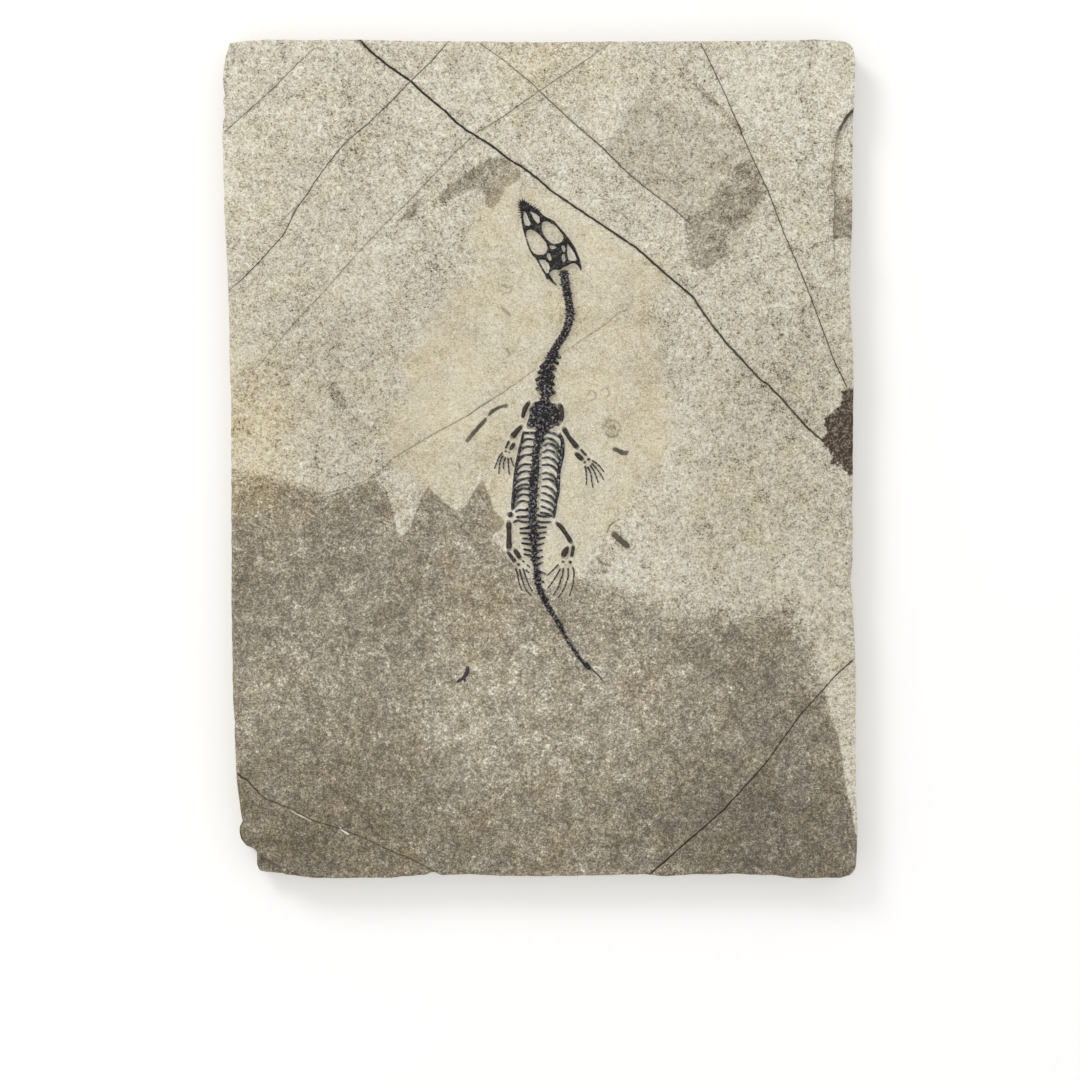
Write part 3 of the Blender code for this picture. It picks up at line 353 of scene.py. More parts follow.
SKULL_OPENINGS = {
    "right eye": (
        (0.6, 94.8), (2.2, 95.2), (3.8, 94.5), (5.8, 93.2), (7.2, 91.6), (8.6, 89.8), (9, 88.4),
        (8.3, 87), (7, 86.2), (5.4, 85.9), (3.9, 86.6), (2.4, 88), (1, 89.8), (0.3, 91.6),
        (0.2, 93.4)),
    "left eye": (
        (-5.4, 91.6), (-4, 91.8), (-2.4, 91.1), (-0.7, 89.8), (0.8, 88), (2, 86.4), (2.6, 84.6),
        (2.2, 82.8), (1, 81.8), (-0.8, 81.7), (-2.8, 82.2), (-4, 83.6), (-5, 86.2), (-5.8, 88.6),
        (-6, 90.4)),
    "right nostril": ((-4.8, 99.6), (-2, 98), (-0.6, 96.8), (-0.5, 94.6), (-1.4, 94.1), (-2.9, 96)),
    "left nostril": (
        (-6.9, 99.2), (-6.1, 98.8), (-4, 93.8), (-5.1, 93.3), (-6.4, 93.5), (-7.1, 96.4)),
    "right temple": (
        (10.5, 86.4), (11.8, 84.6), (13.2, 82.4), (14.3, 79.9), (13.4, 79.3), (11, 79.5),
        (10.4, 82.6)),
    "left temple": (
        (-1, 79.7), (1.6, 79.6), (2.9, 78.3), (3.5, 76.4), (3, 74.4), (2.2, 74.3), (0.9, 76.1)),
    "top window": ((3.4, 85.6), (4.8, 85.3), (6.4, 85), (6.2, 84.3), (4.8, 84), (3.5, 84.2)),
    "upper window": ((8.2, 85.5), (9.4, 85.6), (9.7, 84.2), (9.6, 82.8), (8.7, 82.9), (8.2, 84.2)),
    "lower window": ((8.5, 82.2), (9.6, 82.1), (9.8, 79.2), (8.8, 78.6), (8.2, 80.2)),
    "left slot": ((2.6, 82.4), (3.6, 82.2), (4.1, 80.8), (4.1, 79.4), (3.4, 79.2), (2.3, 81)),
}
SNOUT_RIM = (
    (-8.1, 96.6), (-8.4, 98.6), (-8.6, 100.2), (-8.8, 101.8), (-8.5, 103), (-7.6, 103.6),
    (-6.2, 103), (-4.6, 101.9), (-2.8, 100.9), (-0.8, 99.4),
)
SNOUT_MIDDLE = (-5.2, 98.6)

NECK_PATH = (
    (9.2, 74.2), (9.8, 70), (10.9, 64), (11.6, 58), (10.9, 54), (9.4, 50), (6.8, 46), (4.6, 42),
    (3, 38), (2.4, 32), (2.2, 28), (2.1, 26.1),
)
NECK_WIDTHS = (4.1, 3.8, 4.1, 5.4)
NECK_RIBS = (
    ((2.4, 38.8), (-0.6, 37)), ((2.2, 36.4), (-1.5, 34.8)), ((2, 34), (-2.5, 31.8)),
    ((2, 31.2), (-2, 30.2)), ((1.8, 29.2), (-2.2, 28.3)), ((4.6, 40.2), (7.2, 38.4)),
    ((5.6, 42.4), (8, 40.8)), ((3.6, 37.6), (6.2, 36.2)), ((3, 35), (5.5, 33)),
    ((3, 31.6), (5.5, 30)), ((2.8, 28.8), (6, 26.6)),
)
TRUNK_PATH = (
    (1.5, 23.9), (0.6, 20), (0, 15), (-0.8, 9), (-2, 3), (-2.2, -3), (-2.8, -9), (-3.2, -15),
    (-3.4, -20), (-3.3, -25),
)
TRUNK_WIDTHS = (4.6, 4.2, 4.6)
SPINE_MIDDLE_X = -2.2
RIB_ROOT_DEPTH = 0.3
SHOULDER_LUMPS = (
    (3.2, ((-4.4, 13), (-3.4, 16.4), (-1.8, 20))), (2.2, ((0, 22.4), (-2.6, 21.8))),
    (2.2, ((1, 21.2), (5.6, 21.2))), (2.6, ((1.5, 18), (5.7, 17.6))), (1.5, ((1, 15.6), (7.1, 13.8))),
    (1.4, ((1, 12.2), (4.8, 13))), (1.3, ((-0.5, 10.4), (-6.6, 10.4))),
)
RIBS_RIGHT = (
    ((1.5, 10.4), (3.5, 10.6), (8.2, 8)), ((1.6, 7.8), (3.4, 8.2), (8, 3)),
    ((1.6, 5.4), (3.2, 6.2), (7.4, 2.2)), ((1.2, 2.7), (3, 3.6), (7.8, -0.8)),
    ((1.2, 0.4), (3, 0.6), (7.4, -3.4)), ((1, -2.4), (3.4, -2.4), (7, -5.8)),
    ((1, -5.8), (2.6, -5.6), (7, -10.2)), ((1.2, -8.2), (3, -8), (7, -12.4)),
    ((0.8, -11), (2.6, -11.2), (6.6, -15.8)), ((0.8, -13.6), (2.4, -14.2), (6.2, -18.4)),
    ((0.4, -16.4), (1.8, -16.8), (5.9, -20.2)), ((0.4, -19), (2.4, -19.8), (5.2, -22)),
    ((0, -21.4), (2, -21.8), (4.6, -23.2)),
)
RIBS_LEFT = (
    ((-3.5, 7.8), (-5.4, 8), (-7.6, 6.2)), ((-4, 4.8), (-5.6, 5), (-8.2, 3.2)),
    ((-4, 1.6), (-6, 1.6), (-9.2, -1.2)), ((-4.6, -2.2), (-7, -2.2), (-9.8, -4.8)),
    ((-4.8, -5), (-7, -5), (-10.2, -7.8)), ((-4.8, -7.6), (-7, -8), (-10.6, -10.4)),
    ((-5, -10.4), (-7, -10.2), (-10.9, -13.4)), ((-5.4, -12), (-7.4, -11.9), (-11.1, -15.8)),
    ((-5.6, -14.4), (-7.4, -14.2), (-11.3, -18)), ((-5.6, -17.2), (-7.6, -16.8), (-11.4, -20.2)),
    ((-5, -20.6), (-8.2, -20.4), (-10.2, -21.1)),
)
FLANKS = (
    ((1.3, 1.8, 1.4, 1.2, 1.1), (
        (7.6, 10), (8.6, 6.6), (8.5, 2), (7.8, -1.6), (7.1, -6), (6.9, -13), (6.1, -17), (5.2, -23.4))),
    ((1.0, 1.3, 1.0), (
        (-6.9, 11), (-7.6, 8), (-8.9, 2), (-10, -4), (-10.7, -10), (-11.3, -16), (-11.6, -20.3))),
)
SACRAL_BARS = (
    (1.1, ((-3.4, -22.9), (-6.8, -23.1), (-9.8, -23.2))),
    (0.9, ((-3.4, -25), (-6.8, -25.2), (-9.4, -24.6), (-11, -25.4))),
    (1.0, ((-3.2, -22), (0.6, -23), (3.4, -23))),
    (0.9, ((-3.2, -24.6), (0.6, -25.3), (4, -25.2))),
)
TAIL_PATH = (
    (-3, -26.6), (-2.8, -31), (-2.6, -40), (-1.8, -44.5), (-1.2, -50), (0.8, -55), (3, -59.4),
    (6, -64), (8.6, -68.6), (10.6, -72.4), (13.2, -76.6), (15.4, -79.6), (17.8, -82), (20.6, -84.4),
    (23, -86.6), (25.6, -90),
)
TAIL_WIDTHS = (3.6, 3.2, 2.7, 2.7, 2.9, 2.6, 2.3, 1.7, 1.7, 1.7, 0.9, 0.5)
TAIL_BARS = (
    ((-2.9, -27.4), (-8.6, -27.9)), ((-2.9, -29.8), (-8.6, -29.6)), ((-2.8, -32), (-7.6, -31.8)),
    ((-2.7, -34.4), (-7.9, -33.6)), ((-2.6, -37), (-7.1, -36)), ((-2.6, -39), (-7, -38)),
    ((-2.9, -27.6), (2.4, -27.3)), ((-2.8, -30), (2.2, -29.2)), ((-2.7, -32.4), (1.8, -31.3)),
    ((-2.6, -35), (1.3, -33.6)), ((-2.6, -37.8), (0.6, -36.3)), ((-2.6, -40.2), (0.9, -39)),
    ((-2.4, -42.6), (0.9, -41.2)), ((-1.7, -44.6), (1.8, -46)), ((-1.3, -48), (1.4, -49.5)),
)


class Build(Enum):
    """How high a bone stands for its width: broad bones lie flatter than thin ones."""

    FLAT = 0.6
    MEDIUM = 0.85
    ROUND = 1.15


@dataclass(frozen=True)
class SingleBone:
    """One bone of the limbs or girdles, by its widths along its middle line."""

    node: str
    build: Build
    widths: tuple[float, ...]
    points: tuple[Plan, ...]
    waist: float = 0.9


SINGLE_BONES = (
    SingleBone("shoulder_blade_left", Build.MEDIUM, (1.4, 1.9, 1.3), (
        (-4.8, 22.8), (-6.4, 20), (-7.3, 16.6))),
    SingleBone("shoulder_blade_right", Build.FLAT, (1.6, 2.2, 2.4, 1.8), (
        (7.6, 21.8), (8, 20), (8.1, 17.6), (7.9, 15.2))),
    SingleBone("humerus_left", Build.MEDIUM, (1.5, 1.9, 2.3), (
        (-7.8, 13.1), (-9.6, 11.2), (-11.4, 8.9))),
    SingleBone("humerus_right", Build.MEDIUM, (2.1, 1.6, 1.8, 2.2), (
        (9.2, 12.1), (11, 9), (13, 6.4), (14.4, 4.7))),
    SingleBone("radius_left", Build.ROUND, (1.0, 0.7, 0.9), ((-12.9, 7.1), (-13.6, 5.6), (-14.1, 4.4))),
    SingleBone("ulna_left", Build.MEDIUM, (1.4, 1.6, 1.1), ((-10.8, 6.2), (-11.4, 5), (-12.4, 3.9))),
    SingleBone("radius_right", Build.ROUND, (0.9, 0.8, 0.9), ((16, 3.8), (17, 2.6), (18.1, 1.5))),
    SingleBone("ulna_right", Build.MEDIUM, (1.5, 2.0, 1.7), ((13.9, 2.2), (15.2, 1), (16.6, -0.2))),
    SingleBone("wrist_bone_left_1", Build.ROUND, (0.8, 0.8), ((-14.4, 3.2), (-13.9, 3)), 1.0),
    SingleBone("wrist_bone_left_2", Build.ROUND, (0.8, 0.8), ((-12.9, 2.6), (-12.5, 2.6)), 1.0),
    SingleBone("wrist_bone_right_1", Build.ROUND, (1.1, 1.0), ((18.6, -0.3), (19.4, 0.1)), 1.0),
    SingleBone("wrist_bone_right_2", Build.ROUND, (0.9, 0.8), ((17.2, -1.4), (17.8, -1.3)), 1.0),
    SingleBone("hip_bone_left", Build.FLAT, (1.7, 2.1, 1.8), (
        (-13, -22.1), (-12.2, -22.3), (-11.5, -22.5)), 1.0),
    SingleBone("thigh_bone_left", Build.MEDIUM, (2.1, 1.8, 1.9, 2.3), (
        (-12.9, -25.4), (-12.8, -29), (-12.8, -32), (-12.8, -35.7))),
    SingleBone("thigh_bone_right", Build.MEDIUM, (1.5, 1.8, 1.6, 1.8), (
        (6.2, -25.6), (8, -27.2), (10, -30), (12, -33.2))),
    SingleBone("shin_bone_left", Build.MEDIUM, (1.5, 1.8, 1.6), (
        (-10.5, -36.3), (-9.4, -38), (-8.4, -39.6))),
    SingleBone("calf_bone_left", Build.MEDIUM, (1.3, 1.3, 1.6), (
        (-13.3, -37.3), (-11.8, -39.2), (-10.5, -40.9))),
    SingleBone("shin_bone_right", Build.FLAT, (1.2, 2.3, 1.9), (
        (10.7, -35.2), (9.6, -37.2), (8.8, -38.9)), 1.0),
    SingleBone("calf_bone_right", Build.MEDIUM, (1.5, 1.2, 1.4), (
        (12.9, -34.9), (12.7, -37), (12.2, -38.9))),
    SingleBone("ankle_bone_left_1", Build.ROUND, (1.0, 1.2), ((-9.5, -42.1), (-8.6, -42.3)), 1.0),
    SingleBone("ankle_bone_left_2", Build.ROUND, (0.7, 0.7), ((-7.4, -40.7), (-6.7, -41.2)), 1.0),
    SingleBone("ankle_bone_right_1", Build.ROUND, (1.2, 1.1), ((8.6, -41), (9, -41.1)), 1.0),
    SingleBone("ankle_bone_right_2", Build.ROUND, (1.4, 1.3), ((11.3, -41.2), (12, -41.3)), 1.0),
)
FLAKE = ((-29.3, -83.2), (-29.8, -85.6), (-31.2, -87.6), (-33.6, -89.2))
FLAKE_WIDTHS = (1.4, 1.9, 1.4, 0.9)

DIGITS = {
    "finger_left": (
        ((-15.4, 2.6), (-17, 0.4), (-18.6, -3.9)),
        ((-15.1, 1.3), (-16.4, -1.2), (-16.9, -6)),
        ((-14.2, 0.7), (-15, -2), (-14.9, -4.1)),
        ((-13.2, 0.4), (-13, -3.2), (-12.7, -6.1)),
        ((-12.1, 0.6), (-11.5, -1.4), (-11, -2.8)),
    ),
    "finger_right": (
        ((20.5, -0.6), (23, -2.4), (25.2, -5.2)),
        ((20.2, -1.7), (22.2, -3.8), (24.6, -7.4), (24.8, -8.4)),
        ((19.6, -2.5), (21.2, -4.9), (22.6, -8.6), (22.8, -9.6)),
        ((18.6, -3.1), (19.8, -5.6), (20.4, -9.6), (20.8, -11.4)),
        ((17.5, -2.7), (18, -5), (18.2, -8.6), (18, -10.4)),
    ),
    "toe_left": (
        ((-10.2, -43.8), (-9.4, -46), (-9.1, -48), (-8.6, -50), (-7.6, -52.6)),
        ((-8.6, -44), (-7.6, -48), (-6.8, -50.4), (-5.8, -52.6), (-3.8, -54.7)),
        ((-7.2, -43.8), (-5.8, -48), (-4.6, -51), (-3.4, -52.8)),
        ((-6.1, -44.3), (-4.7, -45.6)),
        ((-5.6, -42.3), (-4.4, -43.3)),
    ),
    "toe_right": (
        ((12.6, -43.2), (13.2, -45), (13, -48), (12.7, -50.4), (11.4, -54.8)),
        ((10.8, -43.6), (10.8, -47.2), (10.2, -49), (9.4, -51.4), (8.2, -53.6), (6.8, -55.6)),
        ((8.9, -43.6), (8.6, -46.4), (7.8, -48.4), (7, -51), (4.8, -54.6)),
        ((7.7, -44), (6.8, -45.6), (5.2, -48.2), (4, -50), (2.6, -51.8)),
        ((7, -42.2), (5.2, -44), (3.7, -45.5), (2.6, -46.6)),
    ),
}


# Plan geometry


def to_frame(points: np.ndarray) -> np.ndarray:
    """Points in plan millimetres and height, as metres in the row frame."""
    return (points - PLAN_MIDDLE) * MM


def even_path(points: np.ndarray, step: float) -> np.ndarray:
    """Points about a step apart on the straight runs between the given ones.

    Args:
        points: Corner points, one to a row.
        step: Distance wanted between neighbours.

    Returns:
        The new points, both ends included.
    """
    run = np.concatenate([[0], np.cumsum(np.linalg.norm(np.diff(points, axis=0), axis=1))])
    at = np.linspace(0, run[-1], max(1, round(run[-1] / step)) + 1)
    return np.column_stack([np.interp(at, run, column) for column in points.T])


def smooth_path(points: tuple, step: float) -> np.ndarray:
    """Evenly spaced points on a smooth curve through the given ones.

    Args:
        points: Points that the curve passes through.
        step: Distance wanted between neighbours.

    Returns:
        The curve's points, one to a row.
    """
    known = np.array(points, float)
    ends = np.vstack([known[:1], known, known[-1:]])
    t = np.linspace(0, 1, 12, endpoint=False)[:, None]
    runs = [
        0.5 * (2 * b + (c - a) * t + (2 * a - 5 * b + 4 * c - d) * t**2
               + (3 * b - a - 3 * c + d) * t**3)
        for a, b, c, d in zip(ends, ends[1:], ends[2:], ends[3:])
    ]
    return even_path(np.vstack([*runs, known[-1:]]), step)


def spread(values: tuple[float, ...], count: int) -> np.ndarray:
    """Values interpolated evenly to a longer list."""
    return np.interp(np.linspace(0, len(values) - 1, count), range(len(values)), values)


def spline_of(points: tuple, widths: tuple[float, ...], step: float = 0.4,
              share: float = 1.0) -> tuple[np.ndarray, np.ndarray, float]:
    """Smooth spline on the bones' bed.

    Args:
        points: Points that it passes through.
        widths: Widths along it in millimetres.
        step: Distance between its points.
        share: Factor on the widths.

    Returns:
        Its points, widths and height.
    """
    path = smooth_path(points, step)
    return path, spread(widths, len(path)) * share, BED


def left_normals(path: np.ndarray, closed: bool = False) -> np.ndarray:
    """Unit vectors to the left of a path's direction at each of its points."""
    if closed:
        along = np.roll(path, -1, axis=0) - np.roll(path, 1, axis=0)
    else:
        along = np.gradient(path, axis=0)
    along /= np.maximum(np.linalg.norm(along, axis=1), 1e-9)[:, None]
    return np.column_stack([-along[:, 1], along[:, 0]])


def signed_distance(points: np.ndarray, outline: tuple) -> np.ndarray:
    """Distance of points to a closed outline, positive inside it.

    Args:
        points: Plan points, one to a row.
        outline: The outline's corners.

    Returns:
        One distance for each point, in millimetres.
    """
    corners = np.array(outline, float)
    result = np.empty(len(points))
    for start in range(0, len(points), CHUNK):
        x, y = points[start:start + CHUNK].T
        best = np.full(len(x), 1e18)
        inside = np.zeros(len(x), bool)
        for (ax, ay), (bx, by) in zip(corners, np.roll(corners, -1, axis=0)):
            ex, ey = bx - ax, by - ay
            t = np.clip(((x - ax) * ex + (y - ay) * ey) / max(ex * ex + ey * ey, 1e-12), 0, 1)
            best = np.minimum(best, (x - ax - t * ex) ** 2 + (y - ay - t * ey) ** 2)
            if ay != by:
                inside ^= ((ay > y) != (by > y)) & (x < ex * (y - ay) / ey + ax)
        result[start:start + CHUNK] = np.where(inside, 1, -1) * np.sqrt(best)
    return result


def fractal(points: np.ndarray, size: float, octaves: int = 3, shift: float = 0.0) -> np.ndarray:
    """Smooth random values from about -1 to 1, the same for the same place.

    Args:
        points: Places in millimetres, with two or three coordinates.
        size: Distance over which the values change, in millimetres.
        octaves: Number of finer layers.
        shift: Offset that makes a different pattern.

    Returns:
        One value for each point.
    """
    scaled = np.column_stack([points / size, np.full(len(points), shift)])[:, :3]
    scaled = scaled + shift * 7.31
    return np.array([noise.fractal(Vector(p), 0.9, 2.1, octaves) for p in scaled])


def ease(values: np.ndarray, low: float, high: float) -> np.ndarray:
    """Smooth rise from 0 at low to 1 at high."""
    t = np.clip((values - low) / (high - low), 0, 1)
    return t * t * (3 - 2 * t)


class Near:
    """Nearest-point look-up over plan points that each carry a value."""

    def __init__(self, points: np.ndarray, values: np.ndarray) -> None:
        """Store the points in a search tree."""
        self.values = values
        self.tree = KDTree(len(points))
        for i, p in enumerate(points):
            self.tree.insert((p[0], p[1], 0.0), i)
        self.tree.balance()

    def find(self, points: np.ndarray) -> tuple[np.ndarray, np.ndarray]:
        """Distance to the nearest stored point, and that point's value.

        Args:
            points: Plan points to look from.

        Returns:
            Distances, and the values of the points found.
        """
        found = [self.tree.find((p[0], p[1], 0.0)) for p in points]
        return np.array([f[2] for f in found]), self.values[[f[1] for f in found]]


# Meshes


def mesh_object(name: str, vertices: np.ndarray, faces: list) -> bpy.types.Object:
    """Object with a mesh from points in metres, linked to the scene.

    Args:
        name: Name of the object and its mesh.
        vertices: Points, one to a row.
        faces: Vertex numbers of each face.

    Returns:
        The new object.
    """
    mesh = bpy.data.meshes.new(name)
    mesh.from_pydata(vertices.tolist(), [], faces)
    mesh.validate()
    obj = bpy.data.objects.new(name, mesh)
    bpy.context.scene.collection.objects.link(obj)
    return obj


def curve_object(name: str, splines: list[tuple[np.ndarray, np.ndarray, float]]) -> bpy.types.Object:
    """Curve object with a poly spline for each bone.

    Args:
        name: Name of the object.
        splines: Plan points, widths in millimetres and height of each spline.

    Returns:
        The new object, whose point radii are half the widths in metres.
    """
    curve = bpy.data.curves.new(name, "CURVE")
    curve.dimensions = "3D"
    for points, widths, height in splines:
        spline = curve.splines.new("POLY")
        spline.points.add(len(points) - 1)
        placed = to_frame(np.column_stack([points, np.full(len(points), height)]))
        for point, place, width in zip(spline.points, placed, widths):
            point.co = (*place, 1.0)
            point.radius = width / 2 * MM
    obj = bpy.data.objects.new(name, curve)
    bpy.context.scene.collection.objects.link(obj)
    return obj


def plain_mesh(obj: bpy.types.Object) -> bpy.types.Mesh:
    """Mesh of an object as its modifiers leave it; the object itself is removed."""
    depsgraph = bpy.context.evaluated_depsgraph_get()
    mesh = bpy.data.meshes.new_from_object(obj.evaluated_get(depsgraph))
    bpy.data.objects.remove(obj, do_unlink=True)
    return mesh


def joined(name: str, meshes: list[bpy.types.Mesh]) -> bpy.types.Object:
    """One object that holds all the faces of several meshes."""
    vertices, faces, start = [], [], 0
    for mesh in meshes:
        co = np.empty(len(mesh.vertices) * 3)
        mesh.vertices.foreach_get("co", co)
        vertices.append(co.reshape(-1, 3))
        faces += [[v + start for v in face.vertices] for face in mesh.polygons]
        start += len(mesh.vertices)
        bpy.data.meshes.remove(mesh)
    return mesh_object(name, np.vstack(vertices), faces)


def fused(obj: bpy.types.Object, voxel: float, rounds: int) -> bpy.types.Object:
    """Object remeshed into one closed skin and smoothed.

    Args:
        obj: Object whose shells overlap.
        voxel: Cell size in millimetres.
        rounds: Smoothing passes.

    Returns:
        A new object of the same name with a plain mesh.
    """
    name = obj.name
    remesh = obj.modifiers.new("fuse", "REMESH")
    remesh.mode = "VOXEL"
    remesh.voxel_size = voxel * MM
    smooth = obj.modifiers.new("soften", "SMOOTH")
    smooth.factor = 0.5
    smooth.iterations = rounds
    mesh = plain_mesh(obj)
    result = bpy.data.objects.new(name, mesh)
    mesh.name = name
    bpy.context.scene.collection.objects.link(result)
    return result


def positions(mesh: bpy.types.Mesh) -> np.ndarray:
    """A mesh's vertices in metres, one to a row."""
    co = np.empty(len(mesh.vertices) * 3)
    mesh.vertices.foreach_get("co", co)
    return co.reshape(-1, 3)


def normals(mesh: bpy.types.Mesh) -> np.ndarray:
    """A mesh's vertex normals, one to a row."""
    values = np.empty(len(mesh.vertices) * 3, np.float32)
    mesh.vertex_normals.foreach_get("vector", values)
    return values.reshape(-1, 3).astype(float)


def move_to(mesh: bpy.types.Mesh, co: np.ndarray) -> None:
    """Put a mesh's vertices at new places."""
    mesh.vertices.foreach_set("co", co.ravel())
    mesh.update()


def store(mesh: bpy.types.Mesh, name: str, values: np.ndarray) -> None:
    """Store one number for each vertex under a name that the finishes read."""
    attribute = mesh.attributes.new(name, "FLOAT", "POINT")
    attribute.data.foreach_set("value", values.astype(np.float32))


def relief(mesh: bpy.types.Mesh, rounds: int) -> np.ndarray:
    """How far each vertex stands over its surroundings, in millimetres.

    Args:
        mesh: Mesh to measure.
        rounds: Averaging passes, more for wider surroundings.

    Returns:
        One height for each vertex, negative in hollows.
    """
    co = positions(mesh) / MM
    edges = np.empty(len(mesh.edges) * 2, int)
    mesh.edges.foreach_get("vertices", edges)
    a, b = edges.reshape(-1, 2).T
    count = np.maximum(np.bincount(a, minlength=len(co)) + np.bincount(b, minlength=len(co)), 1)
    level = co[:, 2].copy()
    for _ in range(rounds):
        total = np.bincount(a, level[b], len(co)) + np.bincount(b, level[a], len(co))
        level = 0.5 * level + 0.5 * total / count
    return co[:, 2] - level


# Node trees


class TreeMaker:
    """Writes one node tree, of geometry or of shader nodes."""

    def __init__(self, tree: bpy.types.NodeTree) -> None:
        """Keep the tree that nodes are added to."""
        self.tree = tree

    def socket(self, name: str, kind: str, default: object = None, out: bool = False) -> str:
        """Add a named input or output to the tree.

        Args:
            name: Name of the socket.
            kind: Socket type.
            default: Value where nothing is linked.
            out: True for an output.

        Returns:
            The socket's identifier.
        """
        side = "OUTPUT" if out else "INPUT"
        item = self.tree.interface.new_socket(name=name, in_out=side, socket_type=kind)
        if default is not None:
            item.default_value = default
        return item.identifier

    def node(self, kind: str, inputs: dict | None = None, **settings: object) -> bpy.types.Node:
        """Add a node with its settings and the values or links of its inputs.

        Args:
            kind: Node type.
            inputs: Value, or socket to link from, by the input's name or number.
            settings: Properties of the node.

        Returns:
            The new node.
        """
        node = self.tree.nodes.new(kind)
        for key, value in settings.items():
            setattr(node, key, value)
        for key, value in (inputs or {}).items():
            if isinstance(value, bpy.types.NodeSocket):
                self.tree.links.new(value, node.inputs[key])
            else:
                node.inputs[key].default_value = value
        return node

    def math(self, operation: str, *values: object, clamp: bool = False) -> bpy.types.NodeSocket:
        """Output of a maths node on numbers or sockets."""
        kind = "ShaderNodeMath"
        node = self.node(kind, dict(enumerate(values)), operation=operation, use_clamp=clamp)
        return node.outputs[0]

    def times(self, first: object, second: object, clamp: bool = False) -> bpy.types.NodeSocket:
        """Product of two numbers or sockets."""
        return self.math("MULTIPLY", first, second, clamp=clamp)

    def plus(self, first: object, second: object) -> bpy.types.NodeSocket:
        """Sum of two numbers or sockets."""
        return self.math("ADD", first, second)

    def scaled(self, value: object, factor: object, offset: object) -> bpy.types.NodeSocket:
        """Number or socket times a factor, plus an offset."""
        return self.math("MULTIPLY_ADD", value, factor, offset)

    def rest(self, share: object) -> bpy.types.NodeSocket:
        """What a share leaves of 1."""
        return self.math("SUBTRACT", 1.0, share)

    def rise(self, value: object, low: object, high: object) -> bpy.types.NodeSocket:
        """Smooth rise of a value from 0 at low to 1 at high."""
        node = self.node(
            "ShaderNodeMapRange",
            {"Value": value, "From Min": low, "From Max": high},
            interpolation_type="SMOOTHSTEP",
        )
        return node.outputs["Result"]

    def blend(self, share: object, first: object, second: object) -> bpy.types.NodeSocket:
        """Mix of two colours by a share of the second."""
        node = self.node("ShaderNodeMix", {"Factor": share}, data_type="RGBA", clamp_factor=True)
        for number, value in ((6, first), (7, second)):
            if isinstance(value, bpy.types.NodeSocket):
                self.tree.links.new(value, node.inputs[number])
            else:
                node.inputs[number].default_value = (*value, 1.0)
        return node.outputs[2]


class ShaderGroups:
    """Pattern groups that the stone and the bone finishes share."""

    def __init__(self) -> None:
        """Build both groups once."""
        self.mottle = self.make_mottle()
        self.specks = self.make_specks()

    def make_mottle(self) -> bpy.types.NodeTree:
        """Cloudy pattern whose output runs from -1 to 1 around zero."""
        tree = bpy.data.node_groups.new("mottle", "ShaderNodeTree")
        make = TreeMaker(tree)
        make.socket("Place", "NodeSocketVector")
        make.socket("Size", "NodeSocketFloat", 10.0)
        make.socket("Detail", "NodeSocketFloat", 4.0)
        make.socket("Harshness", "NodeSocketFloat", 0.6)
        make.socket("Contrast", "NodeSocketFloat", 2.0)
        make.socket("Mottle", "NodeSocketFloat", out=True)
        given = make.node("NodeGroupInput").outputs
        scale = make.math("DIVIDE", 1.0, given["Size"])
        cloud = make.node("ShaderNodeTexNoise", {
            "Vector": given["Place"], "Scale": scale, "Detail": given["Detail"],
            "Roughness": given["Harshness"],
        })
        centred = make.math("SUBTRACT", cloud.outputs["Fac"], 0.5)
        strong = make.times(centred, given["Contrast"])
        strong = make.math("MINIMUM", make.math("MAXIMUM", strong, -1.0), 1.0)
        make.node("NodeGroupOutput", {"Mottle": strong})
        return tree

    def make_specks(self) -> bpy.types.NodeTree:
        """Scattered irregular specks as a mask, more of them where Amount is higher."""
        tree = bpy.data.node_groups.new("specks", "ShaderNodeTree")
        make = TreeMaker(tree)
        make.socket("Place", "NodeSocketVector")
        make.socket("Size", "NodeSocketFloat", 1.0)
        make.socket("Amount", "NodeSocketFloat", 0.3)
        make.socket("Specks", "NodeSocketFloat", out=True)
        given = make.node("NodeGroupInput").outputs
        scale = make.math("DIVIDE", 1.0, given["Size"])
        fine = make.node("ShaderNodeTexNoise", {
            "Vector": given["Place"], "Scale": scale, "Detail": 3.0, "Roughness": 0.7,
        })
        start = make.math("SUBTRACT", 0.66, make.times(given["Amount"], 0.19))
        mask = make.rise(fine.outputs["Fac"], start, make.plus(start, 0.07))
        make.node("NodeGroupOutput", {"Specks": mask})
        return tree


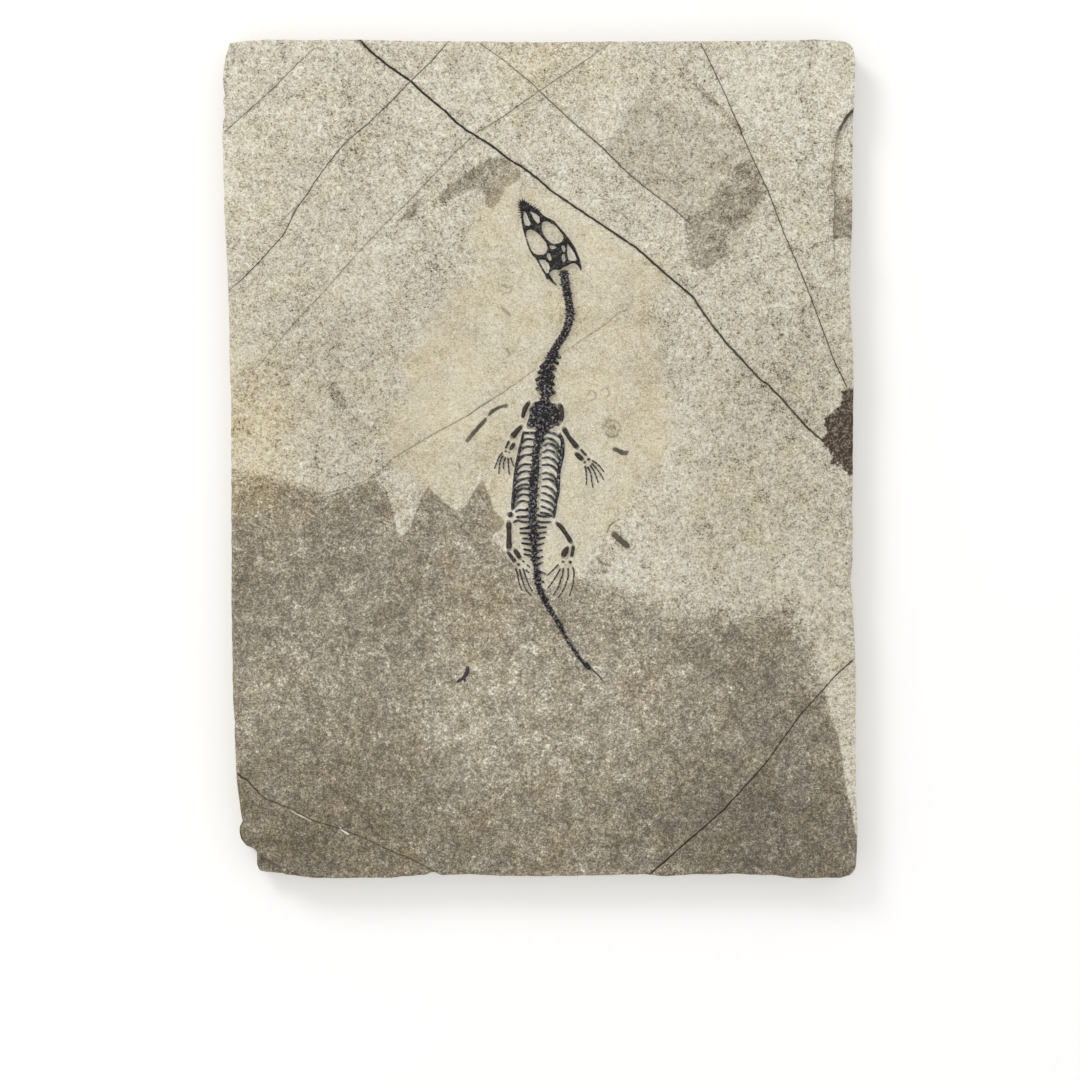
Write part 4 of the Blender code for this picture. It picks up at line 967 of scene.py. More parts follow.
class FinishMaker(TreeMaker):
    """Writes a material's nodes: places, stored numbers, patterns and the shader."""

    def __init__(self, name: str, groups: ShaderGroups) -> None:
        """Start an empty material with its Principled shader."""
        self.material = bpy.data.materials.new(name)
        self.material.use_nodes = True
        super().__init__(self.material.node_tree)
        self.groups = groups
        self.shader = self.tree.nodes["Principled BSDF"]
        self.place = self.node("ShaderNodeVectorMath", {
            0: self.node("ShaderNodeTexCoord").outputs["Object"], 1: (1000.0, 1000.0, 1000.0),
        }, operation="MULTIPLY").outputs[0]

    def stored(self, name: str) -> bpy.types.NodeSocket:
        """Number that the mesh holds for each vertex."""
        return self.node("ShaderNodeAttribute", attribute_name=name).outputs["Fac"]

    def moved(self, shift: tuple[float, float, float],
              scale: tuple = (1, 1, 1)) -> bpy.types.NodeSocket:
        """The surface's place with a shift and a stretch, for a pattern of its own."""
        node = self.node("ShaderNodeMapping", {"Vector": self.place, "Location": shift, "Scale": scale})
        return node.outputs[0]

    def mottle(self, place: bpy.types.NodeSocket, size: float, detail: float = 4.0,
               harshness: float = 0.6, contrast: float = 2.0) -> bpy.types.NodeSocket:
        """Cloudy pattern from -1 to 1."""
        node = self.node("ShaderNodeGroup", node_tree=self.groups.mottle)
        self.tree.links.new(place, node.inputs["Place"])
        for key, value in (("Size", size), ("Detail", detail), ("Harshness", harshness),
                           ("Contrast", contrast)):
            node.inputs[key].default_value = value
        return node.outputs["Mottle"]

    def specks(self, place: bpy.types.NodeSocket, size: float, amount: object) -> bpy.types.NodeSocket:
        """Scattered specks from 0 to 1."""
        node = self.node("ShaderNodeGroup", node_tree=self.groups.specks)
        self.tree.links.new(place, node.inputs["Place"])
        node.inputs["Size"].default_value = size
        if isinstance(amount, bpy.types.NodeSocket):
            self.tree.links.new(amount, node.inputs["Amount"])
        else:
            node.inputs["Amount"].default_value = amount
        return node.outputs["Specks"]

    def ramp(self, value: bpy.types.NodeSocket, stops: tuple) -> bpy.types.NodeSocket:
        """Colours along a scale of numbers from 0 to 1."""
        node = self.node("ShaderNodeValToRGB", {"Fac": value})
        marks = node.color_ramp.elements
        while len(marks) < len(stops):
            marks.new(1.0)
        for mark, (position, colour) in zip(marks, stops):
            mark.position = position
            mark.color = (*colour, 1.0)
        return node.outputs["Color"]

    def finish(self, colour: bpy.types.NodeSocket, roughness: bpy.types.NodeSocket,
               height: bpy.types.NodeSocket, depth: float) -> bpy.types.Material:
        """Link the shader and give back the material.

        Args:
            colour: Base colour.
            roughness: Roughness.
            height: Bump height from 0 to 1.
            depth: Height of the bump in millimetres.

        Returns:
            The finished material.
        """
        bump = self.node("ShaderNodeBump", {"Height": height, "Distance": depth * MM, "Strength": 1.0})
        for key, value in (("Base Color", colour), ("Roughness", roughness),
                           ("Normal", bump.outputs["Normal"])):
            self.tree.links.new(value, self.shader.inputs[key])
        return self.material


@dataclass(frozen=True)
class LimestoneFinish:
    """Bedded limestone: cream upper bed, grey lower bed, stained cracks and a dark crust."""

    name: str = "bedded_limestone"
    ramp: tuple = (
        (0.0, (0.02, 0.017, 0.013)), (0.1, (0.112, 0.098, 0.076)), (0.2, (0.224, 0.196, 0.149)),
        (0.3, (0.334, 0.297, 0.232)), (0.42, (0.464, 0.418, 0.33)), (0.54, (0.58, 0.538, 0.43)),
        (0.64, (0.675, 0.638, 0.53)), (0.85, (0.87, 0.85, 0.76)), (1.0, (0.98, 0.97, 0.9)),
    )
    warm: Colour = (0.60, 0.50, 0.30)
    crack: Colour = (0.055, 0.043, 0.032)
    crust: Colour = (0.060, 0.045, 0.033)
    crust_light: Colour = (0.27, 0.215, 0.165)
    cleaned: Colour = (0.96, 0.93, 0.81)
    # colour of the painted shadow on the stone round the bones' feet
    painted_bone_shadow: Colour = (0.10, 0.085, 0.066)
    streak: Colour = (0.80, 0.77, 0.68)
    seepage: Colour = (0.20, 0.155, 0.11)
    gloss: float = 0.25
    strength: float = 1.7
    lower_extra: float = 1.15

    def material(self, groups: ShaderGroups) -> bpy.types.Material:
        """Build the stone's nodes.

        Args:
            groups: Shared pattern groups.

        Returns:
            The material.
        """
        make = FinishMaker(self.name, groups)
        ragged = make.mottle(make.moved((3, 1, 0)), 3.5, 5.0, 0.7, 3.0)
        torn = make.mottle(make.moved((31, 8, 2)), 1.6, 4.0, 0.75, 3.6)
        torn = make.scaled(ragged, 0.8, make.times(torn, 0.6))
        lower = make.scaled(torn, make.stored("lower_soft"), make.stored("lower_gap"))
        soft = make.stored("lower_soft")
        lower = make.rise(lower, make.times(soft, -1.0), soft)
        lower = make.times(lower, make.stored("lower_share"))
        prepared = make.stored("prepared")
        shade = make.node("ShaderNodeMix", {
            0: lower, 2: make.stored("upper_shade"), 3: make.stored("lower_shade"),
        }).outputs[0]

        rough_share = make.rest(make.times(prepared, 0.4))
        broad = make.mottle(make.moved((40, 7, 0)), 30.0, 3.0, 0.55, 2.6)
        middle = make.mottle(make.moved((9, 60, 0)), 7.0, 5.0, 0.65, 3.0)
        fine = make.mottle(make.moved((21, 33, 0)), 1.9, 4.0, 0.75, 3.6)
        grain = make.mottle(make.moved((5, 2, 8)), 0.8, 2.0, 0.7, 3.6)
        dust = make.mottle(make.moved((15, 12, 3)), 0.42, 2.0, 0.7, 3.6)
        change = make.scaled(grain, 0.3, make.times(dust, 0.34))
        change = make.scaled(fine, 0.27, change)
        change = make.scaled(middle, 0.21, change)
        change = make.scaled(change, rough_share, make.times(broad, 0.14))
        strength = make.scaled(lower, self.lower_extra, self.strength)
        change = make.times(change, strength)
        lean = make.scaled(lower, 0.9, -0.5)
        squared = make.times(make.times(change, change), lean)
        shade = make.times(shade, make.plus(make.plus(change, squared), 1.02))

        amount = make.times(make.rise(middle, -0.7, 0.9), rough_share)
        dark_specks = make.specks(make.moved((70, 3, 0)), 1.5, amount)
        light_specks = make.specks(make.moved((13, 90, 0)), 1.3, amount)
        dark = make.scaled(lower, 0.16, -0.3)
        shade = make.times(shade, make.scaled(dark_specks, dark, 1.0))
        light = make.scaled(lower, 0.3, 0.2)
        shade = make.times(shade, make.scaled(light_specks, light, 1.0))
        colour = make.ramp(shade, self.ramp)
        clouds = make.mottle(make.moved((1, 5, 30)), 13.0, 4.0, 0.65, 3.0)
        warmth = make.plus(make.stored("warmth"), make.times(clouds, 0.85))
        warmth = make.times(warmth, 0.5, clamp=True)
        warmer = make.node("ShaderNodeMix", {
            "Factor": warmth}, data_type="RGBA", blend_type="SOFT_LIGHT")
        make.tree.links.new(colour, warmer.inputs[6])
        warmer.inputs[7].default_value = (*self.warm, 1.0)
        colour = warmer.outputs[2]

        halo = make.rest(make.rise(make.stored("bone_gap"), 0.25, 1.3))
        halo = make.times(halo, make.stored("halo"))
        grainy = make.scaled(make.plus(fine, grain), 0.35, 0.85)
        halo = make.times(halo, grainy)
        colour = make.blend(halo, colour, self.cleaned)
        # Painted shadow: a thin dark line on the stone where it meets the bones.
        rim = make.rest(make.rise(make.stored("bone_gap"), -0.15, 0.14))
        colour = make.blend(make.times(rim, 0.6), colour, self.painted_bone_shadow)

        frayed = make.plus(ragged, torn)
        crust = make.scaled(frayed, 1.5, make.stored("crust_gap"))
        crust = make.rise(crust, -0.4, 0.5)
        crusty = make.rise(make.plus(fine, grain), -0.1, 0.6)
        crusty = make.blend(crusty, self.crust, self.crust_light)
        colour = make.blend(crust, colour, crusty)

        gap = make.plus(make.stored("line_gap"), make.times(fine, 0.1))
        line = make.rest(make.rise(gap, -0.12, 0.2))
        broken = make.rise(make.mottle(make.moved((8, 8, 8)), 4.0, 3.0, 0.6, 2.6), -1.3, 0.1)
        tone = make.math("MAXIMUM", make.stored("line_tone"), 0.0)
        pale = make.math("MAXIMUM", make.times(make.stored("line_tone"), -1.0), 0.0)
        colour = make.blend(make.times(line, pale), colour, self.streak)
        broken = make.math("MAXIMUM", broken, make.rise(tone, 0.7, 0.85))
        line = make.times(line, tone)
        line = make.times(line, make.times(broken, 0.92))
        seep = make.rest(make.rise(make.stored("line_gap"), 0.0, 1.1))
        seep = make.times(make.times(seep, tone), 0.22)
        colour = make.blend(seep, colour, self.seepage)
        colour = make.blend(line, colour, self.crack)

        layer = make.mottle(make.moved((0, 0, 4), (0.05, 0.05, 1.0)), 1.6, 4.0, 0.6, 3.0)
        wall = make.scaled(layer, 0.1, make.scaled(fine, 0.06, 0.36))
        colour = make.blend(make.stored("wall"), colour, make.ramp(wall, self.ramp))

        roughness = make.scaled(fine, 0.06, 0.86)
        height = make.scaled(fine, 0.3, make.scaled(grain, 0.2, 0.5))
        height = make.scaled(dark_specks, -0.25, height)
        make.shader.inputs["Specular IOR Level"].default_value = self.gloss
        return make.finish(colour, roughness, height, 0.16)


@dataclass(frozen=True)
class BoneFinish:
    """Dark fossil bone: a painted highlight makes its crests lighter, and painted shade makes its steep
    rims and its hollows nearly black.
    """

    name: str
    # colour of the painted shade on the bone's steep sides and in its hollows
    painted_shade: Colour
    body: Colour
    # colour of the painted highlight on upward crests, also used for the light flecks
    crest_highlight: Colour
    dust: Colour = (0.42, 0.39, 0.33)
    dust_amount: float = 0.25
    flecks: float = 0.3
    roughness: float = 0.55
    gloss: float = 0.2

    def material(self, groups: ShaderGroups) -> bpy.types.Material:
        """Build the bone's nodes.

        Args:
            groups: Shared pattern groups.

        Returns:
            The material.
        """
        make = FinishMaker(self.name, groups)
        cloud = make.mottle(make.moved((2, 4, 6)), 2.2, 4.0, 0.65, 2.6)
        grain = make.mottle(make.moved((7, 1, 3)), 0.45, 3.0, 0.7, 2.6)
        # Painted shade: where the normal turns away from straight up, the colour runs from the body
        # colour to the painted shade colour; top is the share of upward-facing surface.
        up = make.node("ShaderNodeSeparateXYZ", {
            0: make.node("ShaderNodeNewGeometry").outputs["Normal"]}).outputs["Z"]
        top = make.rise(make.scaled(cloud, 0.12, up), 0.35, 0.95)
        colour = make.blend(top, self.painted_shade, self.body)
        # Painted highlight: raised places that face up are lightened towards the highlight colour.
        crest_highlight = make.rise(make.scaled(grain, 0.06, make.stored("relief")), 0.05, 0.26)
        share = make.scaled(cloud, 0.5, 0.5)
        share = make.times(make.times(crest_highlight, top), share)
        colour = make.blend(share, colour, self.crest_highlight)
        # Light flecks on upward faces, in the painted highlight colour.
        fleck = make.rise(make.mottle(make.moved((4, 9, 8)), 1.0, 2.0, 0.5, 3.0), 0.05, 0.5)
        fleck = make.times(make.times(fleck, top), self.flecks)
        colour = make.blend(fleck, colour, self.crest_highlight)
        # Painted shade in the hollows, where the relief is below its surroundings.
        painted_hollow_shade = make.rise(make.times(make.stored("relief"), -1.0), 0.02, 0.2)
        colour = make.blend(make.times(painted_hollow_shade, 0.8), colour, self.painted_shade)
        dust = make.specks(make.moved((11, 2, 5)), 0.8, self.dust_amount)
        dusty = make.times(dust, make.scaled(top, 0.6, 0.2))
        colour = make.blend(dusty, colour, self.dust)
        roughness = make.scaled(grain, 0.1, self.roughness)
        roughness = make.scaled(dust, 0.3, roughness)
        height = make.scaled(grain, 0.3, make.scaled(cloud, 0.25, 0.5))
        make.shader.inputs["Specular IOR Level"].default_value = self.gloss
        return make.finish(colour, roughness, height, 0.06)


class BoneSlot(Enum):
    """Finish of each group of bones, by its material slot in the record."""

    SKULL = "skull_bone"
    BACKBONE = "backbone"
    LIMB = "limb_bone"
    DIGIT = "digit_bone"
    FLAKE = "flake_bone"


BONE_FINISHES = {
    BoneSlot.SKULL: BoneFinish("black_skull_bone", (0.006, 0.005, 0.005), (0.018, 0.016, 0.016),
                               (0.17, 0.16, 0.16), dust_amount=0.15, flecks=0.5),
    BoneSlot.BACKBONE: BoneFinish("mottled_backbone", (0.006, 0.005, 0.005), (0.017, 0.015, 0.016),
                                  (0.33, 0.31, 0.325), (0.36, 0.34, 0.31), 0.3, flecks=0.85),
    BoneSlot.LIMB: BoneFinish("brown_limb_bone", (0.010, 0.007, 0.006), (0.045, 0.034, 0.027),
                              (0.16, 0.125, 0.095), dust_amount=0.25),
    BoneSlot.DIGIT: BoneFinish("thin_digit_bone", (0.010, 0.008, 0.006), (0.032, 0.025, 0.020),
                               (0.09, 0.07, 0.055), dust_amount=0.2),
    BoneSlot.FLAKE: BoneFinish("purple_flake_bone", (0.012, 0.008, 0.010), (0.060, 0.043, 0.054),
                               (0.15, 0.115, 0.13), dust_amount=0.2),
}


class GrowthTree:
    """Geometry Nodes tree with named inputs that is run once on a guide curve."""

    def __init__(self, name: str) -> None:
        """Start the tree with its guide input and its mesh output."""
        self.tree = bpy.data.node_groups.new(name, "GeometryNodeTree")
        self.make = TreeMaker(self.tree)
        self.inputs: dict[str, str] = {}
        self.make.socket("Guide", "NodeSocketGeometry")
        self.make.socket("Mesh", "NodeSocketGeometry", out=True)
        self.named("Material", "NodeSocketMaterial", None)

    def named(self, name: str, kind: str, default: object) -> None:
        """Add a named size to the tree."""
        self.inputs[name] = self.make.socket(name, kind, default)

    def close(self, geometry: bpy.types.NodeSocket, material: bpy.types.NodeSocket) -> None:
        """End the tree in real geometry with its material set."""
        real = self.make.node("GeometryNodeRealizeInstances", {0: geometry})
        painted = self.make.node("GeometryNodeSetMaterial", {0: real.outputs[0], "Material": material})
        self.make.node("NodeGroupOutput", {"Mesh": painted.outputs[0]})

    def grow(self, guide: bpy.types.Object, values: dict) -> bpy.types.Mesh:
        """Run the tree on a guide and return the plain mesh.

        Args:
            guide: Curve that the tree follows; it is removed afterwards.
            values: Value of each named input that differs from its default.

        Returns:
            The mesh that the tree made.
        """
        modifier = guide.modifiers.new(self.tree.name, "NODES")
        modifier.node_group = self.tree
        for name, value in values.items():
            modifier[self.inputs[name]] = value
        return plain_mesh(guide)


class ShaftTree(GrowthTree):
    """Bone shafts along curves: ribs, bars, long bones and phalanges."""

    def __init__(self) -> None:
        """Build the tree."""
        super().__init__("bone_shafts")
        for name, kind, default in (
            ("Ring spacing", "NodeSocketFloat", 0.0003), ("Waist", "NodeSocketFloat", 0.9),
            ("Tip width", "NodeSocketFloat", 0.35), ("Tip length", "NodeSocketFloat", 0.1),
            ("Bed height", "NodeSocketFloat", BED * MM), ("Roundness", "NodeSocketFloat", 1.0),
            ("Wobble", "NodeSocketFloat", 0.00005), ("Sides", "NodeSocketInt", 10),
            ("Seed", "NodeSocketFloat", 1.0),
        ):
            self.named(name, kind, default)
        make = self.make
        given = make.node("NodeGroupInput").outputs
        path = make.node("GeometryNodeResampleCurve", {
            "Curve": given["Guide"], "Length": given["Ring spacing"]}, mode="LENGTH")
        along = make.node("GeometryNodeSplineParameter").outputs["Factor"]
        to_end = make.math("ABSOLUTE", make.scaled(along, 2.0, -1.0))
        slender = make.rest(make.math("POWER", to_end, 2.0))
        thinner = make.rest(given["Waist"])
        share = make.rest(make.times(thinner, slender))
        from_end = make.math("DIVIDE", make.rest(to_end), given["Tip length"])
        tip = make.rise(from_end, -0.4, 1.0)
        fuller = make.rest(given["Tip width"])
        tip = make.scaled(tip, fuller, given["Tip width"])
        radius = make.node("GeometryNodeInputRadius").outputs[0]
        radius = make.times(radius, make.times(share, tip))
        ring = make.node("GeometryNodeCurvePrimitiveCircle", {
            "Resolution": given["Sides"], "Radius": 1.0})
        skin = make.node("GeometryNodeCurveToMesh", {
            "Curve": path.outputs[0], "Profile Curve": ring.outputs[0], "Scale": radius,
            "Fill Caps": True})
        rough = make.node("ShaderNodeTexNoise", {
            "Scale": 900.0, "Detail": 2.0, "W": given["Seed"]}, noise_dimensions="4D")
        push = make.node("ShaderNodeVectorMath", {
            0: rough.outputs["Color"], 1: (0.5, 0.5, 0.5)}, operation="SUBTRACT")
        reach = make.times(given["Wobble"], 2.0)
        push = make.node("ShaderNodeVectorMath", {
            0: push.outputs[0], "Scale": reach}, operation="SCALE")
        place = make.node("GeometryNodeInputPosition").outputs[0]
        parts = make.node("ShaderNodeSeparateXYZ", {0: place}).outputs
        over = make.math("SUBTRACT", parts["Z"], given["Bed height"])
        height = make.scaled(over, given["Roundness"], given["Bed height"])
        flat = make.node("ShaderNodeCombineXYZ", {"X": parts["X"], "Y": parts["Y"], "Z": height})
        laid = make.node("GeometryNodeSetPosition", {
            "Geometry": skin.outputs[0], "Position": flat.outputs[0], "Offset": push.outputs[0]})
        self.close(laid.outputs[0], given["Material"])


class VertebraTree(GrowthTree):
    """Chain of vertebrae along a curve, each with its body, spine, joint knobs and side bars."""

    def __init__(self) -> None:
        """Build the tree."""
        super().__init__("vertebra_chain")
        for name, kind, default in (
            ("Pitch", "NodeSocketFloat", 0.002), ("Length share", "NodeSocketFloat", 1.0),
            ("Body width", "NodeSocketFloat", 0.62),
            ("Body height", "NodeSocketFloat", 0.30), ("Spine height", "NodeSocketFloat", 0.38),
            ("Side bar", "NodeSocketFloat", 0.5), ("Knob", "NodeSocketFloat", 0.13),
            ("Jitter", "NodeSocketFloat", 0.06), ("Seed", "NodeSocketInt", 3),
        ):
            self.named(name, kind, default)
        make = self.make
        given = make.node("NodeGroupInput").outputs
        path = make.node("GeometryNodeResampleCurve", {
            "Curve": given["Guide"], "Length": given["Pitch"]}, mode="LENGTH")
        turn = make.node("FunctionNodeAlignRotationToVector", {
            "Vector": make.node("GeometryNodeInputTangent").outputs[0]}, axis="X", pivot_axis="Z")
        width = make.times(make.node("GeometryNodeInputRadius").outputs[0], 2.0)
        low = make.rest(given["Jitter"])
        high = make.plus(1.0, given["Jitter"])
        vary = make.node("FunctionNodeRandomValue", {
            2: low, 3: high, "Seed": given["Seed"]}, data_type="FLOAT")
        width = make.times(width, vary.outputs[1])
        length = make.times(given["Pitch"], given["Length share"])
        size = make.node("ShaderNodeCombineXYZ", {"X": length, "Y": width, "Z": width})
        shape = self.vertebra(given)
        chain = make.node("GeometryNodeInstanceOnPoints", {
            "Points": path.outputs[0], "Instance": shape, "Rotation": turn.outputs[0],
            "Scale": size.outputs[0]})
        self.close(chain.outputs[0], given["Material"])

    def lump(self, centre: object, size: object, smoothness: int = 2) -> bpy.types.NodeSocket:
        """Rounded lump of a vertebra, as an ellipsoid at a place."""
        ball = self.make.node("GeometryNodeMeshIcoSphere", {"Radius": 1.0, "Subdivisions": smoothness})
        moved = self.make.node("GeometryNodeTransform", {
            "Geometry": ball.outputs[0], "Translation": centre, "Scale": size})
        return moved.outputs[0]

    def vector(self, x: object, y: object, z: object) -> bpy.types.NodeSocket:
        """Vector from three numbers or sockets."""
        return self.make.node("ShaderNodeCombineXYZ", {"X": x, "Y": y, "Z": z}).outputs[0]

    def vertebra(self, given: object) -> bpy.types.NodeSocket:
        """One vertebra in unit size: length along X, full width along Y.

        Args:
            given: The tree's input sockets.

        Returns:
            The joined geometry.
        """
        make = self.make
        half = make.times(given["Body width"], 0.5)
        lumps = [self.lump((0, 0, 0), self.vector(0.44, half, given["Body height"]), 3)]
        for end in (-0.34, 0.34):
            rim = make.times(half, 1.08)
            lumps.append(self.lump((end, 0, 0), self.vector(0.1, rim, given["Body height"])))
        lumps.append(self.lump((-0.08, 0, 0), self.vector(0.34, 0.09, given["Spine height"])))
        for side in (-1, 1):
            out = make.times(given["Side bar"], 0.55 * side)
            long = make.times(given["Side bar"], 0.45)
            lumps.append(self.lump(self.vector(0.1, out, 0.0), self.vector(0.13, long, 0.2)))
            for end in (-0.42, 0.4):
                off = make.times(half, 0.72 * side)
                size = self.vector(0.17, given["Knob"], 0.12)
                lumps.append(self.lump(self.vector(end, off, 0.14), size))
        join = make.node("GeometryNodeJoinGeometry")
        for lump in lumps:
            make.tree.links.new(lump, join.inputs[0])
        return join.outputs[0]


class ToothTree(GrowthTree):
    """Teeth that stand out from a rim, away from the middle of the snout."""

    def __init__(self) -> None:
        """Build the tree."""
        super().__init__("snout_teeth")
        for name, kind, default in (
            ("Pitch", "NodeSocketFloat", 0.001), ("Tooth width", "NodeSocketFloat", 0.0003),
            ("Tooth length", "NodeSocketFloat", 0.0009),
            ("Snout middle", "NodeSocketVector", (0, 0, 0)), ("Seed", "NodeSocketInt", 5),
        ):
            self.named(name, kind, default)
        make = self.make
        given = make.node("NodeGroupInput").outputs
        path = make.node("GeometryNodeResampleCurve", {
            "Curve": given["Guide"], "Length": given["Pitch"]}, mode="LENGTH")
        out = make.node("ShaderNodeVectorMath", {
            0: make.node("GeometryNodeInputPosition").outputs[0], 1: given["Snout middle"]},
            operation="SUBTRACT")
        turn = make.node("FunctionNodeAlignRotationToVector", {"Vector": out.outputs[0]}, axis="Z")
        tooth = make.node("GeometryNodeMeshCone", {
            "Vertices": 10, "Side Segments": 4, "Radius Top": 0.12, "Radius Bottom": 1.0, "Depth": 2.0})
        vary = make.node("FunctionNodeRandomValue", {
            2: 0.65, 3: 1.2, "Seed": given["Seed"]}, data_type="FLOAT")
        size = make.node("ShaderNodeCombineXYZ", {
            "X": given["Tooth width"], "Y": given["Tooth width"],
            "Z": make.times(given["Tooth length"], make.times(vary.outputs[1], 0.5))})
        rooted = make.node("GeometryNodeTransform", {
            "Geometry": tooth.outputs[0], "Translation": (0, 0, -1.0)})
        row = make.node("GeometryNodeInstanceOnPoints", {
            "Points": path.outputs[0], "Instance": rooted.outputs[0], "Rotation": turn.outputs[0],
            "Scale": size.outputs[0]})
        self.close(row.outputs[0], given["Material"])


@dataclass
class Workshop:
    """What the bone builders share: the trees and the finishes."""

    shafts: ShaftTree
    vertebrae: VertebraTree
    teeth: ToothTree
    finishes: dict[BoneSlot, bpy.types.Material]

    def shaft_mesh(self, name: str, splines: list, slot: BoneSlot, values: dict) -> bpy.types.Mesh:
        """Mesh of shafts along splines, with the tree's other inputs as given."""
        guide = curve_object(name, splines)
        return self.shafts.grow(guide, {"Material": self.finishes[slot], **values})

    def chain_mesh(self, name: str, path: tuple, widths: tuple, pitch: float,
                   values: dict) -> bpy.types.Mesh:
        """Mesh of a chain of vertebrae along a path."""
        points = smooth_path(path, 0.5)
        guide = curve_object(name, [(points, spread(widths, len(points)), BED)])
        values = {"Material": self.finishes[BoneSlot.BACKBONE], "Pitch": pitch * MM, **values}
        return self.vertebrae.grow(guide, values)

    def dress(self, obj: bpy.types.Object, slot: BoneSlot, nodes: list[str], ceiling: float,
              grain: float = 0.06) -> bpy.types.Object:
        """Roughen a bone, store its relief, give it its finish and hand it to the frame.

        Args:
            obj: Object with a plain mesh.
            slot: Its finish.
            nodes: CAD nodes that it stands for.
            ceiling: Greatest height in millimetres.
            grain: Depth of the surface's roughness in millimetres.

        Returns:
            The object.
        """
        mesh = obj.data
        co = positions(mesh) / MM
        push = fractal(co, 0.9, 3, 1.0) * grain + fractal(co, 3.0, 2, 4.0) * grain
        co += normals(mesh) * push[:, None]
        co[:, 2] = np.minimum(co[:, 2], ceiling)
        move_to(mesh, co * MM)
        store(mesh, "relief", relief(mesh, 24))
        mesh.materials.clear()
        mesh.materials.append(self.finishes[slot])
        mesh.shade_smooth()
        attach(obj, ROOT_BODY)
        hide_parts(*nodes)
        log.info("%s: %d faces", obj.name, len(mesh.polygons))
        return obj


@dataclass
class Skull:
    """Skull seen from above: rounded bars between its openings, and teeth round the snout."""

    cell: float = 0.16
    margin: float = 0.6
    slimmer: float = 0.1
    knobbliness: float = 0.22
    wear: float = 0.16
    bar_half: float = 0.55
    shoulder: float = 0.4
    crown: float = 0.6
    root: float = 0.3
    tooth_pitch: float = 0.95
    tooth_height: float = BED + 0.3
    voxel: float = 0.13
    ceiling: float = 15.7

    def plate(self) -> bpy.types.Mesh:
        """Plate with rounded bars between its openings, raised from a grid of heights."""
        corners = np.array(SKULL_OUTLINE)
        low, high = corners.min(axis=0) - self.margin, corners.max(axis=0) + self.margin
        axes = [np.arange(low[i], high[i], self.cell) for i in range(2)]
        shape = (len(axes[0]), len(axes[1]))
        grid = np.stack(np.meshgrid(*axes, indexing="ij"), axis=-1).reshape(-1, 2)
        spots = np.pad(grid, ((0, 0), (0, 1)))
        depth = signed_distance(grid, SKULL_OUTLINE)
        for opening in SKULL_OPENINGS.values():
            depth = np.minimum(depth, -signed_distance(grid, opening))
        depth += self.knobbliness * fractal(spots, 0.9, 2, 5.0) - self.slimmer
        slope = np.gradient(depth.reshape(shape), self.cell)
        slope = np.stack(slope, axis=-1).reshape(-1, 2)
        steep = np.maximum((slope ** 2).sum(axis=1), 0.3)[:, None]
        grid += slope * np.where(depth < 0, -depth, 0.0)[:, None] / steep
        rounded = 1 - (1 - np.clip(depth / self.bar_half, 0, 1)) ** 2
        wear = self.wear * fractal(np.pad(grid, ((0, 0), (0, 1))), 1.5, 3, 7.0)
        top = BED + self.shoulder + (self.crown + wear) * np.sqrt(rounded)
        return self.walled(grid, top, depth, np.arange(len(grid)).reshape(shape))

    def walled(self, grid: np.ndarray, top: np.ndarray, depth: np.ndarray,
               number: np.ndarray) -> bpy.types.Mesh:
        """Closed solid under the cells of a grid that hold bone.

        Args:
            grid: Plan points of the grid.
            top: Height of each point.
            depth: How far inside the bone each point lies.
            number: Point numbers, laid out as the grid's rows and columns.

        Returns:
            The mesh, with a flat underside and walls round every opening.
        """
        cells = [number[:-1, :-1], number[1:, :-1], number[1:, 1:], number[:-1, 1:]]
        cells = np.stack(cells, axis=-1).reshape(-1, 4)
        cells = cells[depth[cells].max(axis=1) > 0]
        sides = {}
        for cell in cells:
            for first, second in zip(cell, np.roll(cell, -1)):
                if sides.pop((second, first), None) is None:
                    sides[(first, second)] = True
        count = len(grid)
        faces = [tuple(cell) for cell in cells] + [tuple(cell[::-1] + count) for cell in cells]
        faces += [(second, first, first + count, second + count) for first, second in sides]
        used = np.unique(np.concatenate([np.array(face) for face in faces]))
        renumbered = np.zeros(2 * count, int)
        renumbered[used] = np.arange(len(used))
        floor = np.full(count, FACE - self.root)
        vertices = np.vstack([np.column_stack([grid, z]) for z in (top, floor)])[used]
        faces = [tuple(renumbered[list(face)]) for face in faces]
        return mesh_object("skull_plate", to_frame(vertices), faces).data

    def build(self, shop: Workshop) -> bpy.types.Object:
        """Build and dress the skull."""
        meshes = [self.plate()]
        rim = smooth_path(SNOUT_RIM, 0.3)
        guide = curve_object("snout_rim", [(rim, np.ones(len(rim)), self.tooth_height)])
        middle = to_frame(np.array([[*SNOUT_MIDDLE, self.tooth_height]]))[0]
        meshes.append(shop.teeth.grow(guide, {
            "Material": shop.finishes[BoneSlot.SKULL], "Pitch": self.tooth_pitch * MM,
            "Tooth width": 0.0004, "Tooth length": 0.0021, "Snout middle": middle.tolist()}))
        obj = fused(joined("skull_bones", meshes), self.voxel, 1)
        return shop.dress(obj, BoneSlot.SKULL, ["skull"], self.ceiling)


